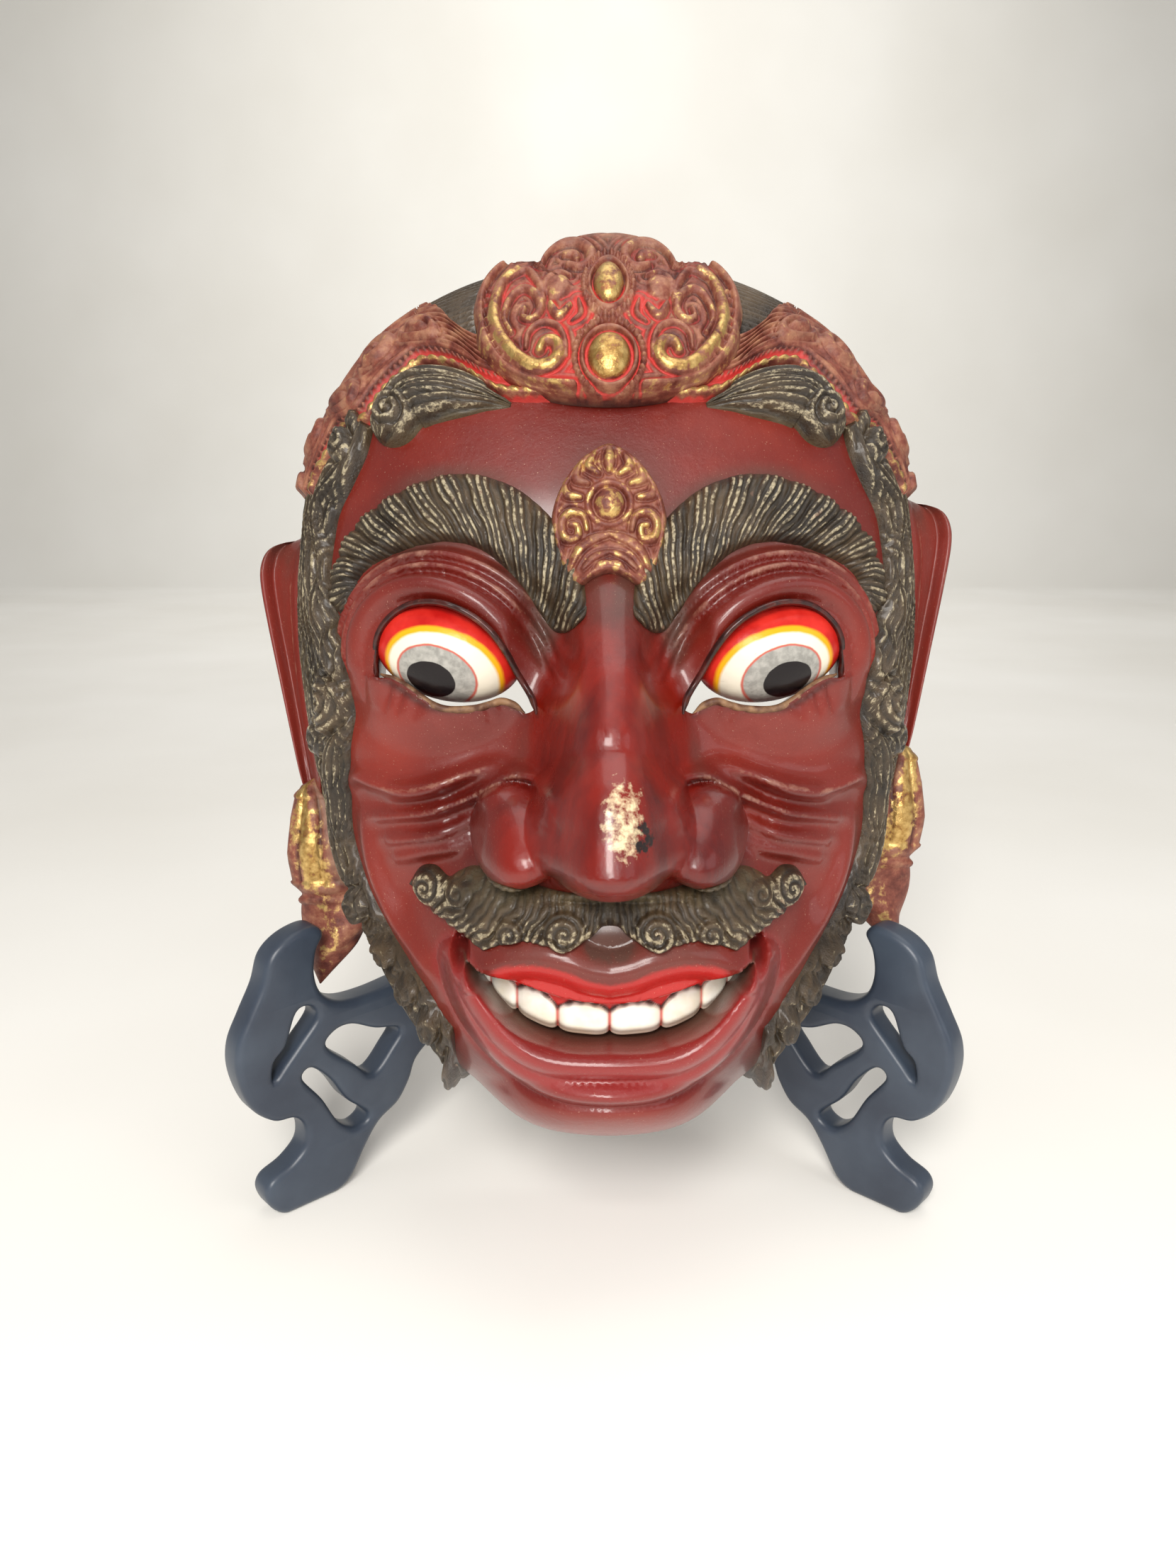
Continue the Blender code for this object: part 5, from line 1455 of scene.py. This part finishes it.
# ---------------------------------------------------------------------------
# Ear pendants. Flower buds that hang from the lobes: fluted cap with an open
# flower, gilded, over a dark tapering body that curls in to a hooked tip.
# ---------------------------------------------------------------------------
PENDANT_TOP, PENDANT_LONG, HALF_TURN = 97.0, 62.0, 60
t = ((1 - np.cos(np.linspace(0.02, math.pi - 0.02, 170))) / 2)[:, None]
turn = np.linspace(0, 2 * math.pi, 2 * HALF_TURN + 1)[:-1][None, :]
drop = PENDANT_LONG * t
levels = [0, 2, 5, 12, 22, 32, 42, 50, 57, 62]
outer = np.interp(drop, levels, [86, 89.5, 91.2, 92.8, 93.6, 92.2, 90, 89, 88, 86])
inner = np.interp(drop, levels, [85.5, 83, 80, 76, 73, 70.5, 69, 75, 81, 85.5])
half_deep = np.interp(t, [0, 0.03, 0.08, 0.3, 0.6, 0.85, 1.0], [0.2, 3.6, 5.5, 8.0, 6.5, 5.0, 0.5])
back_w = np.interp(t, [0, 0.4, 0.6, 1.0], [12.0, 11.0, 7.5, 7.5])
cap = ease(33.0, 30.0, drop)
flute = 2.0 * (np.abs(np.cos(turn * 4.0 + drop / 16.0)) ** 0.6 - 0.6) * cap * ease(0, 6, drop)
hooks = 1.1 * np.sin(turn * 3 + drop / 3.2) * (1 - cap) * ease(60, 50, drop)
cuff = (1.3 * roll(drop - 32.0, 1.8, 0.7) + 1.0 * roll(drop - 36.2, 1.2, 0.7)
        + 0.9 * roll(drop - 4.5, 1.3, 0.7))
grow = 1.0 + (flute + hooks + cuff) / 10.0
x = (outer + inner) / 2 + (outer - inner) / 2 * np.cos(turn) * grow
w = np.maximum(back_w + half_deep * np.sin(turn) * grow, 0.4)
# A streak of extra gold down the bud's lit side is a painted highlight.
lit = peak(turn - 1.25 - 0.012 * (drop - 20), 0.42)
marks = {"gold": np.clip(0.42 + 0.75 * lit, 0, 1) * (0.6 + 0.4 * cap), "bole": 0.3,
         "raised": np.clip(0.5 + flute + cuff, 0, 1),
         "dust": 0.95 * cap * (1 - lit) * ease(1.2, 2.2, turn) + 0.15}
marks = {label: np.broadcast_to(values, x.shape)[:, :HALF_TURN] for label, values in marks.items()}
for side, word in SIDES:
    v = PENDANT_TOP - drop + RIGHT_SIDE_LIFT * (side > 0) + 0.0 * turn
    bud = np.stack([side * x, v, w], axis=-1)
    halves = bud[:, :HALF_TURN], bud[:, HALF_TURN:][:, ::-1]
    mask_piece(f"pendant_{word}", lofted("pendant", *halves, marks), gilt_mat)


# ---------------------------------------------------------------------------
# Stand. Two boards sawn and pierced to the same scrolled pattern, their edges
# rounded over, crossed in a half lap behind the mask; slate-blue satin paint.
# ---------------------------------------------------------------------------
stand_mat, satin = finish_of("stand_paint")
colour = ramp(stand_mat, noise(stand_mat, 40.0, 5.0),
              (0.35, srgb(52, 60, 74)), (0.65, srgb(68, 78, 92)))
colour = coats(stand_mat, colour, (srgb(96, 96, 96), patches(stand_mat, 220.0, 0.22, 6.0), 0.5))
finished(stand_mat, satin, colour, 0.36, noise(stand_mat, 120.0, 5.0), 0.2, 0.0005)

BOARD_THICK, BOARD_TURN = 9.5, math.radians(42.0)
STAND_X, FOOT_X, FOOT_Y = -1.2, 92.5, -26.6
EDGE_ROUND, LAP_HEIGHT, LAP_GAP = 2.2, 58.0, 0.35
BOARD_OUTLINE = [
    (-2, 0), (6, 0), (14, 0), (20, 3), (26, 12), (31, 18), (38, 22), (42.5, 28),
    (46, 35), (55, 39.5), (75, 41), (100, 38), (126, 29), (146, 15), (160, 4), (168, 0),
    (178, 0), (186, 3), (189, 10), (184, 20), (170, 36), (158, 55), (150, 80), (147, 106), (141, 122),
    (129, 127), (117, 121), (110, 104), (103, 82), (88, 69), (64, 64), (44, 62.8), (30, 61.5),
    (20, 62.3), (14, 66.5), (12, 73), (13, 80), (15.5, 85), (12, 88), (4, 86.5), (-2, 82),
    (-5, 74), (-9.5, 66), (-13.5, 58), (-14, 49), (-10.5, 38), (-4, 31.5), (2.5, 30), (5.5, 26),
    (5, 20), (0, 15.5), (-6.5, 12.8), (-8.5, 9), (-6.5, 3.5)]
BOARD_HOLES = [
    [(5.5, 63), (10, 63.5), (11.5, 59.5), (5.5, 53), (0.5, 48), (-3.2, 44.5), (-2.5, 50),
     (1.5, 54)],
    [(14.5, 49), (17, 53), (23, 53.5), (31, 49.5), (39.5, 46.5), (36, 41), (29, 35), (23, 40.5)],
    [(6, 41.5), (9, 44), (15, 38), (20, 29.5), (27, 22), (22.5, 19), (17, 23), (12, 32.5)],
    [(64, 54), (74, 57.5), (88, 57), (86, 50), (75, 47.5), (66, 48.5)]]


def board_frame(side):
    """Axes of a board: along it, up, and out of its face; its origin is the front sole."""
    along = (-side * math.cos(BOARD_TURN), math.sin(BOARD_TURN))
    across = (math.sin(BOARD_TURN), side * math.cos(BOARD_TURN))
    return Matrix((
        (along[0], 0.0, across[0], (STAND_X + side * FOOT_X) * MM),
        (along[1], 0.0, across[1], FOOT_Y * MM),
        (0.0, 1.0, 0.0, 0.0),
        (0.0, 0.0, 0.0, 1.0)))


ABOVE_STAND, BELOW_STAND = 200.0, -50.0
for side, node, low, high in ((-1, "stand_board_left", LAP_HEIGHT, ABOVE_STAND),
                              (1, "stand_board_right", BELOW_STAND, LAP_HEIGHT + LAP_GAP)):
    pattern = bpy.data.curves.new(node, "CURVE")
    pattern.dimensions, pattern.fill_mode = "2D", "BOTH"
    pattern.extrude = (BOARD_THICK / 2 - EDGE_ROUND) * MM
    pattern.bevel_depth, pattern.bevel_resolution = EDGE_ROUND * MM, 3
    pattern.offset = -EDGE_ROUND * MM
    for points in (BOARD_OUTLINE, *BOARD_HOLES):
        line = flow(points, 6, closed=True) * MM
        spline = pattern.splines.new("POLY")
        spline.points.add(len(line) - 1)
        for point, (along, level) in zip(spline.points, line):
            point.co = (along, max(level, 0.0), 0.0, 1.0)
        spline.use_cyclic_u = True
    board = bpy.data.objects.new(node.replace("stand_", ""), pattern)
    bpy.context.scene.collection.objects.link(board)
    select_only(board)
    bpy.ops.object.convert(target="MESH")
    board = bpy.context.object
    bpy.ops.object.mode_set(mode="EDIT")
    bpy.ops.mesh.select_all(action="SELECT")
    bpy.ops.mesh.remove_doubles(threshold=1e-5)
    bpy.ops.object.mode_set(mode="OBJECT")
    board.data.transform(board_frame(side))
    bpy.ops.object.select_all(action="DESELECT")
    bpy.ops.mesh.primitive_cube_add(size=1.0)
    slot_block = bpy.context.object
    stretch = Matrix.Diagonal((0.4, (high - low) * MM, (BOARD_THICK + 2 * LAP_GAP) * MM, 1.0))
    middle = Matrix.Translation((0.0, (high + low) / 2 * MM, 0.0))
    slot_block.data.transform(board_frame(-side) @ middle @ stretch)
    for item in (slot_block, board):
        select_only(item)
        bpy.ops.object.mode_set(mode="EDIT")
        bpy.ops.mesh.select_all(action="SELECT")
        bpy.ops.mesh.normals_make_consistent(inside=False)
        bpy.ops.object.mode_set(mode="OBJECT")
    cut = board.modifiers.new("half_lap", "BOOLEAN")
    cut.operation, cut.solver, cut.object = "DIFFERENCE", "EXACT", slot_block
    bpy.ops.object.modifier_apply(modifier="half_lap")
    bpy.data.objects.remove(slot_block, do_unlink=True)
    bpy.ops.object.shade_smooth_by_angle(angle=math.radians(32))
    board.data.materials.clear()
    board.data.materials.append(stand_mat)
    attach(board, "root")
    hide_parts(node)
